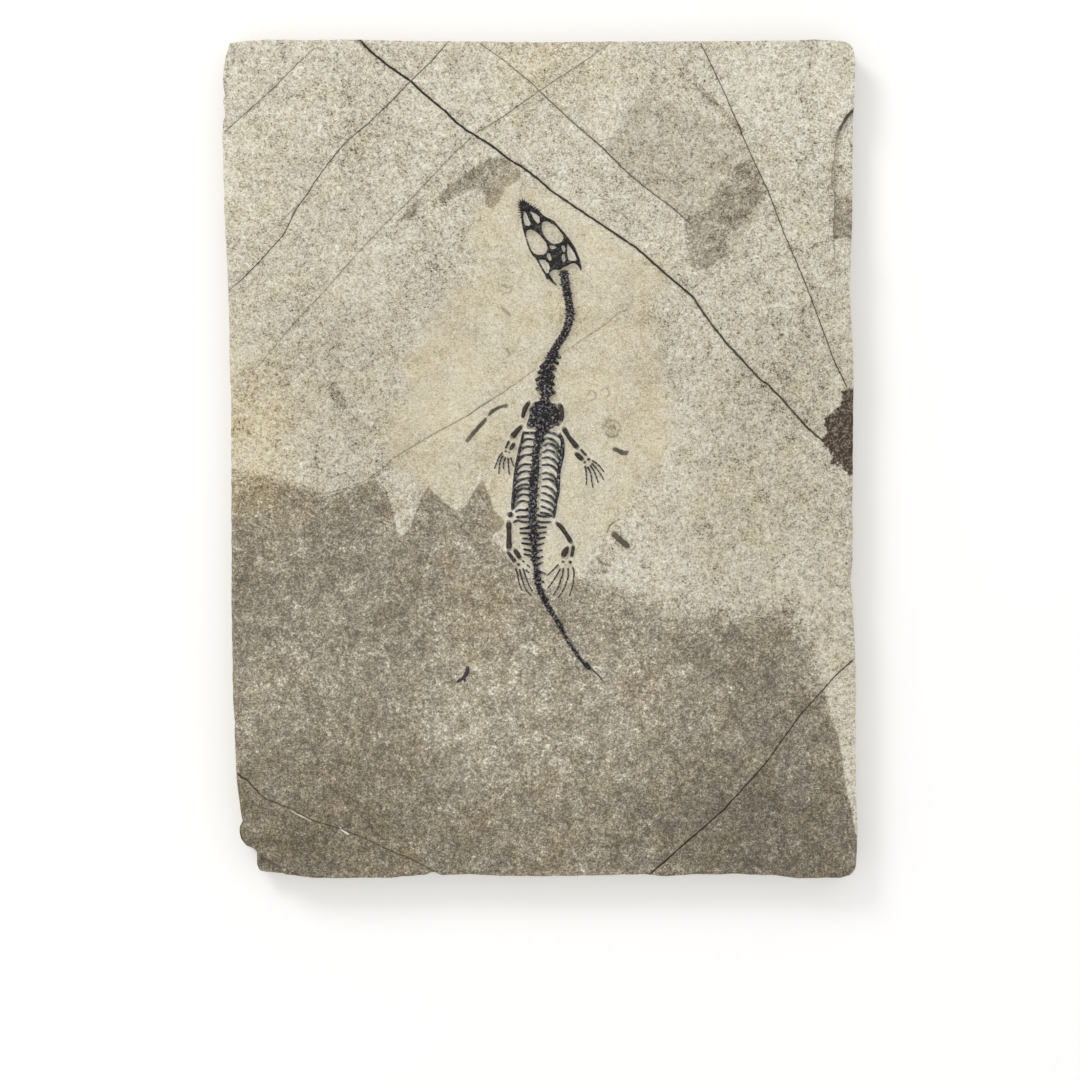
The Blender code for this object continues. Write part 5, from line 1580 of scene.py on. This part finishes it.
@dataclass
class Neck:
    """Neck vertebrae with the short ribs of the lower half."""

    pitch: float = 1.95
    voxel: float = 0.13
    ceiling: float = 15.45
    rib_reach: float = 0.95
    rib_sweep: float = 0.6
    rib_widths: tuple = (1.9, 1.7, 1.1)

    def build(self, shop: Workshop) -> bpy.types.Object:
        """Build and dress the neck."""
        meshes = [shop.chain_mesh("neck_chain", NECK_PATH, NECK_WIDTHS, self.pitch, {
            "Body width": 0.6, "Body height": 0.26, "Spine height": 0.36, "Side bar": 0.56,
            "Knob": 0.23, "Jitter": 0.2, "Length share": 0.93, "Seed": 4})]
        ribs = []
        for root, tip in NECK_RIBS:
            end = (root[0] + self.rib_reach * (tip[0] - root[0]), tip[1] - self.rib_sweep)
            ribs.append(spline_of((root, end), self.rib_widths, 0.3))
        meshes.append(shop.shaft_mesh("neck_ribs", ribs, BoneSlot.BACKBONE, {
            "Waist": 1.0, "Roundness": 0.8, "Wobble": 0.0003}))
        obj = fused(joined("neck_bones", meshes), self.voxel, 1)
        return shop.dress(obj, BoneSlot.BACKBONE, ["neck"], self.ceiling)


@dataclass
class RibCage:
    """Trunk vertebrae, ribs, flank bars and the bones between the hips."""

    pitch: float = 2.6
    rib_width: float = 0.9
    rib_taper: tuple = (0.7, 1.0, 1.05, 0.9)
    lump_share: float = 0.92
    plate_path: tuple = ((0.6, 10.6), (1.2, 16.6), (1.8, 24.0))
    plate_widths: tuple = (6.6, 11.6, 12.2, 6.6)
    voxel: float = 0.16
    ceiling: float = 15.65

    def ribs(self) -> list:
        """Splines of the ribs, from beside the backbone over their highest point outwards."""
        result = []
        for start, peak, end in RIBS_RIGHT + RIBS_LEFT:
            root = (start[0] + (SPINE_MIDDLE_X - start[0]) * RIB_ROOT_DEPTH, start[1])
            arch = (0.45 * peak[0] + 0.55 * end[0], 0.74 * peak[1] + 0.26 * end[1])
            points = (root, start, peak, arch, end)
            result.append(spline_of(points, self.rib_taper, share=self.rib_width))
        return result

    def bars(self) -> list:
        """Splines of the bars along the flanks and between the hips."""
        flanks = [spline_of(points, widths) for widths, points in FLANKS]
        return flanks + [spline_of(points, (width,)) for width, points in SACRAL_BARS]

    def lumps(self) -> list:
        """Splines of the broad bones over the shoulders."""
        return [spline_of(points, (width,), share=self.lump_share)
                for width, points in SHOULDER_LUMPS]

    def build(self, shop: Workshop) -> bpy.types.Object:
        """Build and dress the rib cage."""
        plate = spline_of(self.plate_path, self.plate_widths)
        meshes = [
            shop.chain_mesh("trunk_chain", TRUNK_PATH, TRUNK_WIDTHS, self.pitch, {
                "Body width": 0.68, "Body height": 0.25, "Spine height": 0.31, "Side bar": 0.55,
                "Knob": 0.16, "Jitter": 0.12, "Seed": 8}),
            shop.shaft_mesh("shoulder_plate", [plate], BoneSlot.BACKBONE, {
                "Waist": 1.0, "Roundness": 0.08, "Tip width": 0.3, "Tip length": 0.7,
                "Wobble": 0.0006, "Sides": 24}),
            shop.shaft_mesh("ribs", self.ribs(), BoneSlot.BACKBONE, {"Roundness": 1.15, "Waist": 0.95}),
            shop.shaft_mesh("bars", self.bars(), BoneSlot.BACKBONE, {"Waist": 1.0, "Wobble": 0.0001}),
            shop.shaft_mesh("lumps", self.lumps(), BoneSlot.BACKBONE, {
                "Waist": 0.9, "Roundness": 0.62, "Wobble": 0.0004}),
        ]
        obj = fused(joined("rib_cage_bones", meshes), self.voxel, 1)
        return shop.dress(obj, BoneSlot.BACKBONE, ["rib_cage"], self.ceiling)


@dataclass
class Tail:
    """Tail vertebrae that thin to a thread, with the side bars of the first ones."""

    pitch: float = 1.9
    voxel: float = 0.11
    ceiling: float = 15.35
    core_shares: tuple = (0.2, 0.16, 0.16, 0.25, 0.9)
    bar_widths: tuple = (1.25, 1.05, 0.75)
    swelling: tuple = ((16.4, -80.8), (18, -82.4), (20, -84))
    swelling_widths: tuple = (1.2, 2.1, 1.5)

    def build(self, shop: Workshop) -> bpy.types.Object:
        """Build and dress the tail."""
        meshes = [shop.chain_mesh("tail_chain", TAIL_PATH[:13], TAIL_WIDTHS[:10], self.pitch, {
            "Body width": 0.66, "Body height": 0.32, "Spine height": 0.42, "Side bar": 0.6,
            "Knob": 0.25, "Jitter": 0.26, "Length share": 0.84, "Seed": 12})]
        whole = smooth_path(TAIL_PATH, 0.5)
        widths = spread(TAIL_WIDTHS, len(whole)) * spread(self.core_shares, len(whole))
        bars = [spline_of(points, self.bar_widths) for points in TAIL_BARS]
        swollen = spline_of(self.swelling, self.swelling_widths, 0.3)
        core = [(whole, widths, BED), swollen]
        meshes.append(shop.shaft_mesh("tail_core", core, BoneSlot.BACKBONE, {
            "Waist": 1.0, "Tip length": 0.02, "Roundness": 0.8}))
        meshes.append(shop.shaft_mesh("tail_bars", bars, BoneSlot.BACKBONE, {"Waist": 1.0}))
        obj = fused(joined("tail_bones", meshes), self.voxel, 1)
        return shop.dress(obj, BoneSlot.BACKBONE, ["tail"], self.ceiling)


@dataclass
class Limbs:
    """The single bones of the limbs and girdles, each with swollen ends."""

    stoutness: float = 1.15
    voxel: float = 0.14
    ceiling: float = 15.2

    def build(self, shop: Workshop) -> list[bpy.types.Object]:
        """Build and dress each bone."""
        result = []
        for number, bone in enumerate(SINGLE_BONES):
            shaft = spline_of(bone.points, bone.widths, 0.3, self.stoutness)
            mesh = shop.shaft_mesh(bone.node, [shaft], BoneSlot.LIMB, {
                "Waist": bone.waist, "Roundness": bone.build.value, "Tip width": 0.5, "Sides": 14,
                "Tip length": 0.22, "Wobble": 0.00012, "Seed": float(number)})
            obj = fused(joined(bone.node + "_bone", [mesh]), self.voxel, 2)
            result.append(shop.dress(obj, BoneSlot.LIMB, [bone.node], self.ceiling, 0.05))
        return result


@dataclass
class Digits:
    """Fingers and toes: in each a long first bone, then shorter ones out to the tip."""

    width: float = 0.7
    gap: float = 0.22
    first_share: float = 0.4
    bones: int = 4
    ceiling: float = 14.75

    def phalanges(self, points: tuple) -> list:
        """Splines of one digit's bones, with small gaps at the joints.

        Args:
            points: The digit's middle line.

        Returns:
            Points, widths and height of each bone.
        """
        path = smooth_path(points, 0.1)
        length = len(path)
        count = self.bones if length > 70 else max(1, self.bones - 1 if length > 35 else 1)
        rest = (1 - self.first_share) / max(count - 1, 1)
        cuts = [0.0, 1.0]
        if count > 1:
            cuts = [0.0, *(self.first_share + rest * k for k in range(count))]
        result = []
        for number, (a, b) in enumerate(zip(cuts, cuts[1:])):
            first, last = int(a * (length - 1)), int(b * (length - 1))
            joint = int(self.gap / 0.1) if b < 1 else 0
            piece = path[first + (1 if number else 0):last + 1 - joint]
            width = self.width * (1.08 - 0.32 * (a + b) / 2)
            result.append((piece, np.full(len(piece), width), BED))
        return result

    def build(self, shop: Workshop) -> list[bpy.types.Object]:
        """Build and dress each finger and toe."""
        result = []
        for limb, digits in DIGITS.items():
            for number, points in enumerate(digits, start=1):
                node = f"{limb}_{number}"
                mesh = shop.shaft_mesh(node, self.phalanges(points), BoneSlot.DIGIT, {
                    "Waist": 0.78, "Roundness": 1.1, "Tip width": 0.6, "Tip length": 0.2, "Sides": 10,
                    "Ring spacing": 0.00015, "Wobble": 0.00004, "Seed": float(number)})
                obj = joined(node + "_bones", [mesh])
                result.append(shop.dress(obj, BoneSlot.DIGIT, [node], self.ceiling, 0.02))
        return result


@dataclass
class Flake:
    """Loose forked flake of bone, low on the slab."""

    voxel: float = 0.14
    ceiling: float = 14.95

    def build(self, shop: Workshop) -> bpy.types.Object:
        """Build and dress the flake."""
        splines = [
            spline_of(FLAKE, FLAKE_WIDTHS, 0.3),
            spline_of(((-29.8, -84.6), (-28.6, -83.9)), (1.0,), 0.3),
            spline_of(((-30.2, -86.4), (-30.5, -88), (-30.6, -89.4)), (1.1, 0.6), 0.3),
        ]
        mesh = shop.shaft_mesh("flake", splines, BoneSlot.FLAKE, {
            "Roundness": 0.6, "Tip width": 0.4, "Wobble": 0.0002})
        obj = fused(joined("loose_flake", [mesh]), self.voxel, 1)
        return shop.dress(obj, BoneSlot.FLAKE, ["bone_flake"], self.ceiling)


def bone_places() -> tuple[np.ndarray, np.ndarray]:
    """Points along every bone's middle line, with half the bone's width there.

    Returns:
        Plan points and half widths in millimetres.
    """
    lines = [(path, widths, 0.8) for path, widths in (
        (NECK_PATH, NECK_WIDTHS), (TRUNK_PATH, TRUNK_WIDTHS), (TAIL_PATH, TAIL_WIDTHS))]
    lines += [(p, (0.9, 0.7), 1.0) for p in NECK_RIBS]
    lines += [(p, (1.0, 0.9), 1.0) for p in RIBS_LEFT + RIBS_RIGHT]
    lines += [(p, (1.0, 0.6), 1.0) for p in TAIL_BARS]
    lines += [(p, w, 1.0) for w, p in FLANKS]
    lines += [(p, (w, w), 1.0) for w, p in SHOULDER_LUMPS + SACRAL_BARS]
    lines += [(b.points, b.widths, 1.0) for b in SINGLE_BONES]
    lines += [(p, (0.6, 0.5), 1.0) for digits in DIGITS.values() for p in digits]
    lines.append((FLAKE, FLAKE_WIDTHS, 1.0))
    points, halves = [], []
    for path, widths, share in lines:
        placed = smooth_path(path, 0.25)
        points.append(placed)
        halves.append(spread(widths, len(placed)) * share / 2)
    return np.vstack(points), np.concatenate(halves)


@dataclass
class Slab:
    """Limestone slab with cracks, flaked places, a broken edge and a flat rough underside."""

    spacing: float = 1.38
    bone_spacing: float = 0.62
    edge_spacing: float = 1.25
    line_spacing: float = 0.75
    undulation: float = 0.3
    arris: float = 0.9
    underside_spacing: float = 4.5
    shoulders: tuple = (0.0, 0.3, 0.9)
    crease_angle: float = 50.0
    upper_shade: float = 0.572
    lower_shade: float = 0.266
    warmth: float = 0.12
    levels: tuple = (
        (0.985, 0.1), (0.95, 0.25), (0.93, 0.45), (0.88, 0.35), (0.80, 0.45), (0.73, 0.5), (0.70, 1.2),
        (0.60, 1.35), (0.50, 1.1), (0.42, 1.3), (0.345, 1.1), (0.30, 0.5), (0.20, 0.7), (0.10, 1.0),
        (0.03, 1.4), (0.0, 1.8),
    )

    def ring(self) -> np.ndarray:
        """The face's outline, closely spaced and roughened inwards, clockwise."""
        corners = np.array(SLAB_OUTLINE, float)
        path = even_path(np.vstack([corners, corners[:1]]), self.edge_spacing)[:-1]
        inward = -left_normals(path, closed=True)
        bite = np.clip(0.12 + 0.22 * fractal(path, 5.0, 4, 2.0), 0.0, 0.45)
        return path + inward * bite[:, None]

    def line_rows(self) -> tuple[list[np.ndarray], np.ndarray, np.ndarray, np.ndarray]:
        """Rows of points along each crack and mark.

        Returns:
            The middle rows, all side points, and the dense middle points with their line numbers
            and tones.
        """
        middles, sides, dense, facts = [], [], [], []
        for number, line in enumerate(LINES):
            path = even_path(np.array(line.points, float), self.line_spacing / 3)
            sway = 0.0 if line.kind is LineKind.STROKE else 0.16
            normal = left_normals(path)
            path = path + normal * (sway * fractal(path, 2.6, 3, 5.0 + number))[:, None]
            rough = 1 + 0.35 * fractal(path, 1.8, 2, 3.0 + number)
            half = line.width / 2 * np.clip(rough, 0.5, 1.5)
            for extra in self.shoulders:
                for side in (-1, 1):
                    row = path + normal * (side * (half + extra))[:, None]
                    sides.append(row[::3])
            middles.append(path[::3])
            dense.append(path)
            tone = spread(line.tones, len(path))
            facts.append(np.column_stack([np.full(len(path), number), tone, half]))
        return middles, np.vstack(sides), np.vstack(dense), np.vstack(facts)

    def step_rows(self) -> np.ndarray:
        """Rows of points along the walls of the flaked places."""
        rows = []
        for step in STEPS:
            corners = np.array(step.outline, float)
            path = even_path(np.vstack([corners, corners[:1]]), 0.7)[:-1]
            normal = left_normals(path, closed=True)
            if signed_distance(path + normal * 0.2, step.outline).mean() < 0:
                normal = -normal
            path = path + normal * (0.3 * fractal(path, 3.0, 3, 8.0))[:, None]
            for inset in (-0.5, 0.0, step.wall * 0.5, step.wall, step.wall + 0.6):
                rows.append(path + normal * inset)
        return np.vstack(rows)

    def scatter(self, spacing: float, low: Plan, high: Plan, seed: int) -> np.ndarray:
        """Jittered points in rows, about a spacing apart."""
        xs = np.arange(low[0], high[0], spacing)
        ys = np.arange(low[1], high[1], spacing * 0.87)
        grid = np.stack(np.meshgrid(xs, ys), axis=-1)
        grid[1::2, :, 0] += spacing / 2
        points = grid.reshape(-1, 2)
        rng = np.random.default_rng(seed)
        return points + rng.uniform(-0.24, 0.24, points.shape) * spacing

    def face_points(self, ring: np.ndarray, bones: Near) -> tuple[list, list]:
        """All points of the face, the ring first, and the edges that must be kept.

        Args:
            ring: Outline of the face.
            bones: Middle lines of the bones.

        Returns:
            Points as vectors, and pairs of point numbers.
        """
        middles, sides, _, _ = self.line_rows()
        points, edges = [ring], []
        count = len(ring)

        def clear_of(candidates: np.ndarray, distance: float, margin: float = 0.95) -> np.ndarray:
            """Candidates inside the outline that keep a distance from the points so far."""
            candidates = candidates[signed_distance(candidates, SLAB_OUTLINE) > margin]
            so_far = np.vstack(points)
            gaps, _ = Near(so_far, np.zeros(len(so_far))).find(candidates)
            return candidates[gaps > distance]

        for row in middles:
            inside = signed_distance(row, SLAB_OUTLINE) > 0.95
            row = row[inside]
            points.append(row)
            edges += [(count + i, count + i + 1) for i in range(len(row) - 1)
                      if np.linalg.norm(row[i + 1] - row[i]) < 2 * self.line_spacing]
            count += len(row)
        rim = [ring - left_normals(ring, closed=True) * inset for inset in (0.5, 1.2)]
        points.append(clear_of(np.vstack(rim), 0.3, 0.45))
        for extra in (sides, self.step_rows()):
            points.append(clear_of(extra, 0.16))
        close = self.scatter(self.bone_spacing, (-36, -93), (30, 108), 3)
        gap, half = bones.find(close)
        reach = (gap - half < 2.2) | (signed_distance(close, SKULL_OUTLINE) > -1.5)
        points.append(clear_of(close[reach], self.bone_spacing * 0.5))
        low, high = ring.min(axis=0), ring.max(axis=0)
        points.append(clear_of(self.scatter(self.spacing, low, high, 7), self.spacing * 0.55))
        return [Vector(p) for p in np.vstack(points)], edges

    def drop(self, plan: np.ndarray) -> np.ndarray:
        """How far each place lies under the face because its upper bed has flaked away."""
        low = np.zeros(len(plan))
        for step in STEPS:
            gap = signed_distance(plan, step.outline) - 0.3 * fractal(plan, 3.0, 3, 8.0)
            low = np.maximum(low, step.depth * np.clip(gap / step.wall, 0, 1))
        return low

    def heights(self, plan: np.ndarray, fields: dict[str, np.ndarray]) -> np.ndarray:
        """Height of the face at each place.

        Args:
            plan: Plan points.
            fields: The stored numbers of the same points.

        Returns:
            Heights in millimetres.
        """
        rough = 1 - 0.65 * fields["prepared"]
        height = FACE - 0.1 + self.undulation * fractal(plan, 55.0, 2, 11.0) * 0.5
        height += (0.13 * rough * fractal(plan, 9.0, 3, 12.0)
                   + 0.09 * rough * fractal(plan, 2.6, 3, 13.0))
        height -= 0.22 * fields["prepared"]
        height += 0.22 * (1 - ease(fields["bone_gap"], -0.2, 0.9))
        depth = np.array([line.depth for line in LINES])[fields["line"].astype(int)]
        inside = np.clip(-fields["line_gap"] / np.maximum(fields["line_half"], 0.1), 0, 1)
        beside = np.exp(-np.clip(fields["line_gap"], 0, None) / 0.7)
        height -= depth * inside + 0.06 * beside * (depth > 0.3)
        low = self.drop(plan)
        height -= low + 0.25 * (low > 0.1) * fractal(plan, 2.2, 3, 14.0)
        worn = 1 - ease(fields["edge_gap"], 0.0, self.arris)
        height -= worn * (0.35 + 0.35 * np.clip(fractal(plan, 4.0, 3, 15.0) + 0.2, 0, 1.2))
        return height

    def fields(self, plan: np.ndarray, border: Near, bones: Near) -> dict[str, np.ndarray]:
        """Numbers for each point that shape and colour the stone.

        Args:
            plan: Plan points.
            border: Points along the outline of the face.
            bones: Middle lines of the bones.

        Returns:
            Values by name.
        """
        _, _, dense, facts = self.line_rows()
        gap, fact = Near(dense, facts).find(plan)
        bone, half = bones.find(plan)
        bone_gap = np.minimum(bone - half, FAR)
        near = (np.abs(plan[:, 0] - 4) < 18) & (np.abs(plan[:, 1] - 87) < 24)
        skull = signed_distance(plan[near], SKULL_OUTLINE)
        for opening in SKULL_OPENINGS.values():
            skull = np.minimum(skull, -signed_distance(plan[near], opening))
        bone_gap[near] = np.minimum(bone_gap[near], -skull)
        lower = np.full(len(plan), -1e9)
        soft = np.ones(len(plan))
        strength = np.ones(len(plan))
        for stain in STAINS:
            inside = signed_distance(plan, stain.outline)
            soft = np.where(inside > lower, stain.softness, soft)
            strength = np.where(inside > lower, stain.strength, strength)
            lower = np.maximum(lower, inside)
        x, y = plan.T
        soft += 7.0 * ease(x, 6, 30) * (1 - ease(y, -60, -36)) * ease(118 - x, 0, 12)
        soft += 3.0 * (1 - ease(np.abs(x + 104), 0, 26)) * ease(-y, -10, 10)
        upper_shade = np.full(len(plan), self.upper_shade)
        lower_shade = np.full(len(plan), self.lower_shade)
        warmth = np.full(len(plan), self.warmth)
        for tint in TINTS:
            away = (plan - tint.centre) / tint.radii
            share = np.exp(-(away**2).sum(axis=1))
            upper_shade += tint.upper * share
            lower_shade += tint.lower * share
            warmth += tint.warmth * share
        grey = ease(signed_distance(plan, UPPER_RIGHT_GREY), -0.7, 0.9)
        upper_shade -= 0.09 * grey
        prepared = ease(signed_distance(plan, PREPARED) + 3 * fractal(plan, 14.0, 2, 20.0), -5, 5)
        upper_shade += 0.015 * prepared
        warmth += 0.7 * prepared
        halo = 0.26 + 0.74 * ease(signed_distance(plan, RIB_AREA), -1.2, 0.6)
        for name, opening in SKULL_OPENINGS.items():
            share = 0.12 if "eye" in name else 1.0
            halo = np.where(signed_distance(plan, opening) > -0.4, share, halo)
        halo *= ease(plan[:, 1], -68, -52) + 0.5 * (1 - ease(np.abs(plan[:, 1] + 86), 4, 8))
        return {
            "halo": halo, "lower_share": strength,
            "line_gap": np.minimum(gap - fact[:, 2], FAR), "line": fact[:, 0], "line_tone": fact[:, 1],
            "line_half": fact[:, 2], "bone_gap": bone_gap, "lower_gap": np.clip(lower, -FAR, FAR),
            "lower_soft": soft, "upper_shade": upper_shade, "lower_shade": lower_shade,
            "warmth": warmth, "prepared": prepared,
            "crust_gap": np.clip(signed_distance(plan, STEPS[2].outline), -FAR, FAR),
            "edge_gap": border.find(plan)[0], "wall": np.zeros(len(plan)),
        }

    def face(self, ring: np.ndarray, bones: Near) -> tuple[np.ndarray, list, list[int]]:
        """Triangulated face in plan.

        Args:
            ring: Outline of the face.
            bones: Middle lines of the bones.

        Returns:
            Plan points, triangles, and the number of each of the ring's points.
        """
        points, edges = self.face_points(ring, bones)
        loop = list(range(len(ring)))[::-1]
        placed, _, faces, origin, _, _ = delaunay_2d_cdt(
            points, edges, [loop], INSIDE_FACES, MERGE_DISTANCE, True)
        number_of = {}
        for new, old in enumerate(origin):
            for o in old:
                number_of[o] = new
        plan = np.array([tuple(p) for p in placed])
        return plan, self.inside_only(plan, faces, ring), [number_of[i] for i in range(len(ring))]

    def inside_only(self, plan: np.ndarray, faces: list, ring: np.ndarray) -> list:
        """The triangles whose middle lies inside a ring of points."""
        middles = plan[np.array(faces)].mean(axis=1)
        doubtful = signed_distance(middles, SLAB_OUTLINE) < 4
        keep = np.ones(len(faces), bool)
        keep[doubtful] = signed_distance(middles[doubtful], [tuple(p) for p in ring]) > 0
        return [face for face, kept in zip(faces, keep) if kept]

    def build(self, material: bpy.types.Material) -> bpy.types.Object:
        """Build the slab, store its numbers and give it its finish.

        Args:
            material: The limestone.

        Returns:
            The slab's object.
        """
        bones = Near(*bone_places())
        ring = self.ring()
        plan, faces, rim = self.face(ring, bones)
        closed = even_path(np.vstack([ring, ring[:1]]), 0.2)
        border = Near(closed, np.zeros(len(closed)))
        fields = self.fields(plan, border, bones)
        height = self.heights(plan, fields)
        vertices = [np.column_stack([plan, height])]
        values = [fields]
        count = len(plan)
        above = rim
        inward = -left_normals(ring, closed=True)
        top = height[rim]
        for share, inset in self.levels:
            spot = np.column_stack([ring, np.full(len(ring), share * FACE * 2)])
            push = (inset * (0.85 + 0.3 * fractal(spot, 16.0, 2, 30.0))
                    + 0.38 * fractal(spot, 3.4, 4, 31.0))
            level = ring + inward * np.maximum(push, 0.05)[:, None]
            z = top * share + (0.12 * fractal(spot, 4.0, 2, 32.0) if 0.05 < share < 0.95 else 0.0)
            vertices.append(np.column_stack([level, np.maximum(z, 0.0)]))
            wall = self.fields(level, border, bones)
            wall["wall"] = np.full(len(ring), float(ease(np.array(1 - share), 0.0, 0.05)))
            wall["bone_gap"][:] = FAR
            values.append(wall)
            below = list(range(count, count + len(ring)))
            for i in range(len(ring)):
                j = (i + 1) % len(ring)
                faces.append((above[i], above[j], below[j], below[i]))
            above, count = below, count + len(ring)
        foot = vertices[-1][:, :2]
        low, high = foot.min(axis=0), foot.max(axis=0)
        inner = self.scatter(self.underside_spacing, low, high, 9)
        inner = inner[signed_distance(inner, [tuple(p) for p in foot]) > 1.5]
        points = [Vector(p) for p in np.vstack([foot, inner])]
        loop = list(range(len(foot)))[::-1]
        placed, _, under, _, _, _ = delaunay_2d_cdt(
            points, [], [loop], INSIDE_FACES, MERGE_DISTANCE, True)
        under = self.inside_only(np.array([tuple(p) for p in placed]), under, foot)
        pits = np.clip(0.12 * fractal(inner, 11.0, 4, 40.0) - 0.02, 0, 0.2)
        vertices.append(np.column_stack([inner, pits]))
        base = self.fields(inner, border, bones)
        base["wall"] = np.ones(len(inner))
        base["bone_gap"][:] = FAR
        values.append(base)
        numbers = above + list(range(count, count + len(inner)))
        faces += [tuple(numbers[v] for v in face[::-1]) for face in under]
        obj = mesh_object("limestone_slab", to_frame(np.vstack(vertices)), [list(f) for f in faces])
        for name in STONE_NUMBERS:
            store(obj.data, name, np.concatenate([v[name] for v in values]))
        obj.data.materials.append(material)
        obj.data.shade_smooth()
        obj.data.set_sharp_from_angle(angle=math.radians(self.crease_angle))
        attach(obj, ROOT_BODY)
        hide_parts("matrix_slab")
        log.info("%s: %d faces", obj.name, len(obj.data.polygons))
        return obj


@dataclass(frozen=True)
class Studio:
    """Pale floor, soft light and the camera that looks straight down."""

    height: float = 1.5
    lens: float = 125.0
    aim: Plan = (0.0, -0.0325)
    floor_size: float = 6.0
    sky: float = 0.8
    key: float = 9.0

    def floor(self) -> None:
        """Lay the pale floor under the slab."""
        half = self.floor_size / 2
        corners = np.array([(-half, -half, 0), (half, -half, 0), (half, half, 0), (-half, half, 0)])
        floor = mesh_object("studio_floor", corners, [(0, 1, 2, 3)])
        material = bpy.data.materials.new("pale_floor")
        material.use_nodes = True
        shader = material.node_tree.nodes["Principled BSDF"]
        shader.inputs["Base Color"].default_value = (1.0, 1.0, 1.0, 1.0)
        shader.inputs["Emission Color"].default_value = (1.0, 1.0, 1.0, 1.0)
        shader.inputs["Emission Strength"].default_value = 0.1
        shader.inputs["Roughness"].default_value = 0.9
        shader.inputs["Specular IOR Level"].default_value = 0.1
        floor.data.materials.append(material)

    def lights(self) -> None:
        """Hang one soft round lamp at the upper left and light the room evenly."""
        world = bpy.data.worlds.new("soft_room")
        bpy.context.scene.world = world
        world.use_nodes = True
        room = world.node_tree.nodes["Background"]
        room.inputs["Color"].default_value = (1.0, 0.99, 0.975, 1.0)
        room.inputs["Strength"].default_value = self.sky
        lamp = bpy.data.lights.new("soft_lamp", "AREA")
        lamp.shape = "DISK"
        lamp.size = 0.7
        lamp.energy = self.key
        lamp.color = (1.0, 0.985, 0.96)
        obj = bpy.data.objects.new("soft_lamp", lamp)
        obj.location = (-0.9, 1.15, 1.1)
        obj.rotation_euler = (Vector((0, 0, 0)) - obj.location).to_track_quat("-Z", "Y").to_euler()
        bpy.context.scene.collection.objects.link(obj)

    def camera(self) -> None:
        """Hang the camera over the slab, as the photograph was taken."""
        data = bpy.data.cameras.new("overhead_camera")
        data.lens = self.lens
        data.sensor_width = 36.0
        obj = bpy.data.objects.new("overhead_camera", data)
        obj.location = (*self.aim, FACE * MM + self.height)
        bpy.context.scene.collection.objects.link(obj)
        bpy.context.scene.camera = obj

    def build(self) -> None:
        """Set up the floor, the lights, the camera and the colour view."""
        self.floor()
        self.lights()
        self.camera()
        bpy.context.scene.view_settings.view_transform = "Standard"


def main() -> None:
    """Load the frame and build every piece."""
    logging.basicConfig(level=logging.INFO, format="%(message)s")
    for obj in list(bpy.data.objects):
        bpy.data.objects.remove(obj, do_unlink=True)
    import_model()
    Studio().build()
    groups = ShaderGroups()
    Slab().build(LimestoneFinish().material(groups))
    finishes = {slot: finish.material(groups) for slot, finish in BONE_FINISHES.items()}
    shop = Workshop(ShaftTree(), VertebraTree(), ToothTree(), finishes)
    for part in (Skull(), Neck(), RibCage(), Tail(), Limbs(), Digits(), Flake()):
        part.build(shop)
        log.info("%s done", type(part).__name__)


if __name__ == "__main__":
    main()
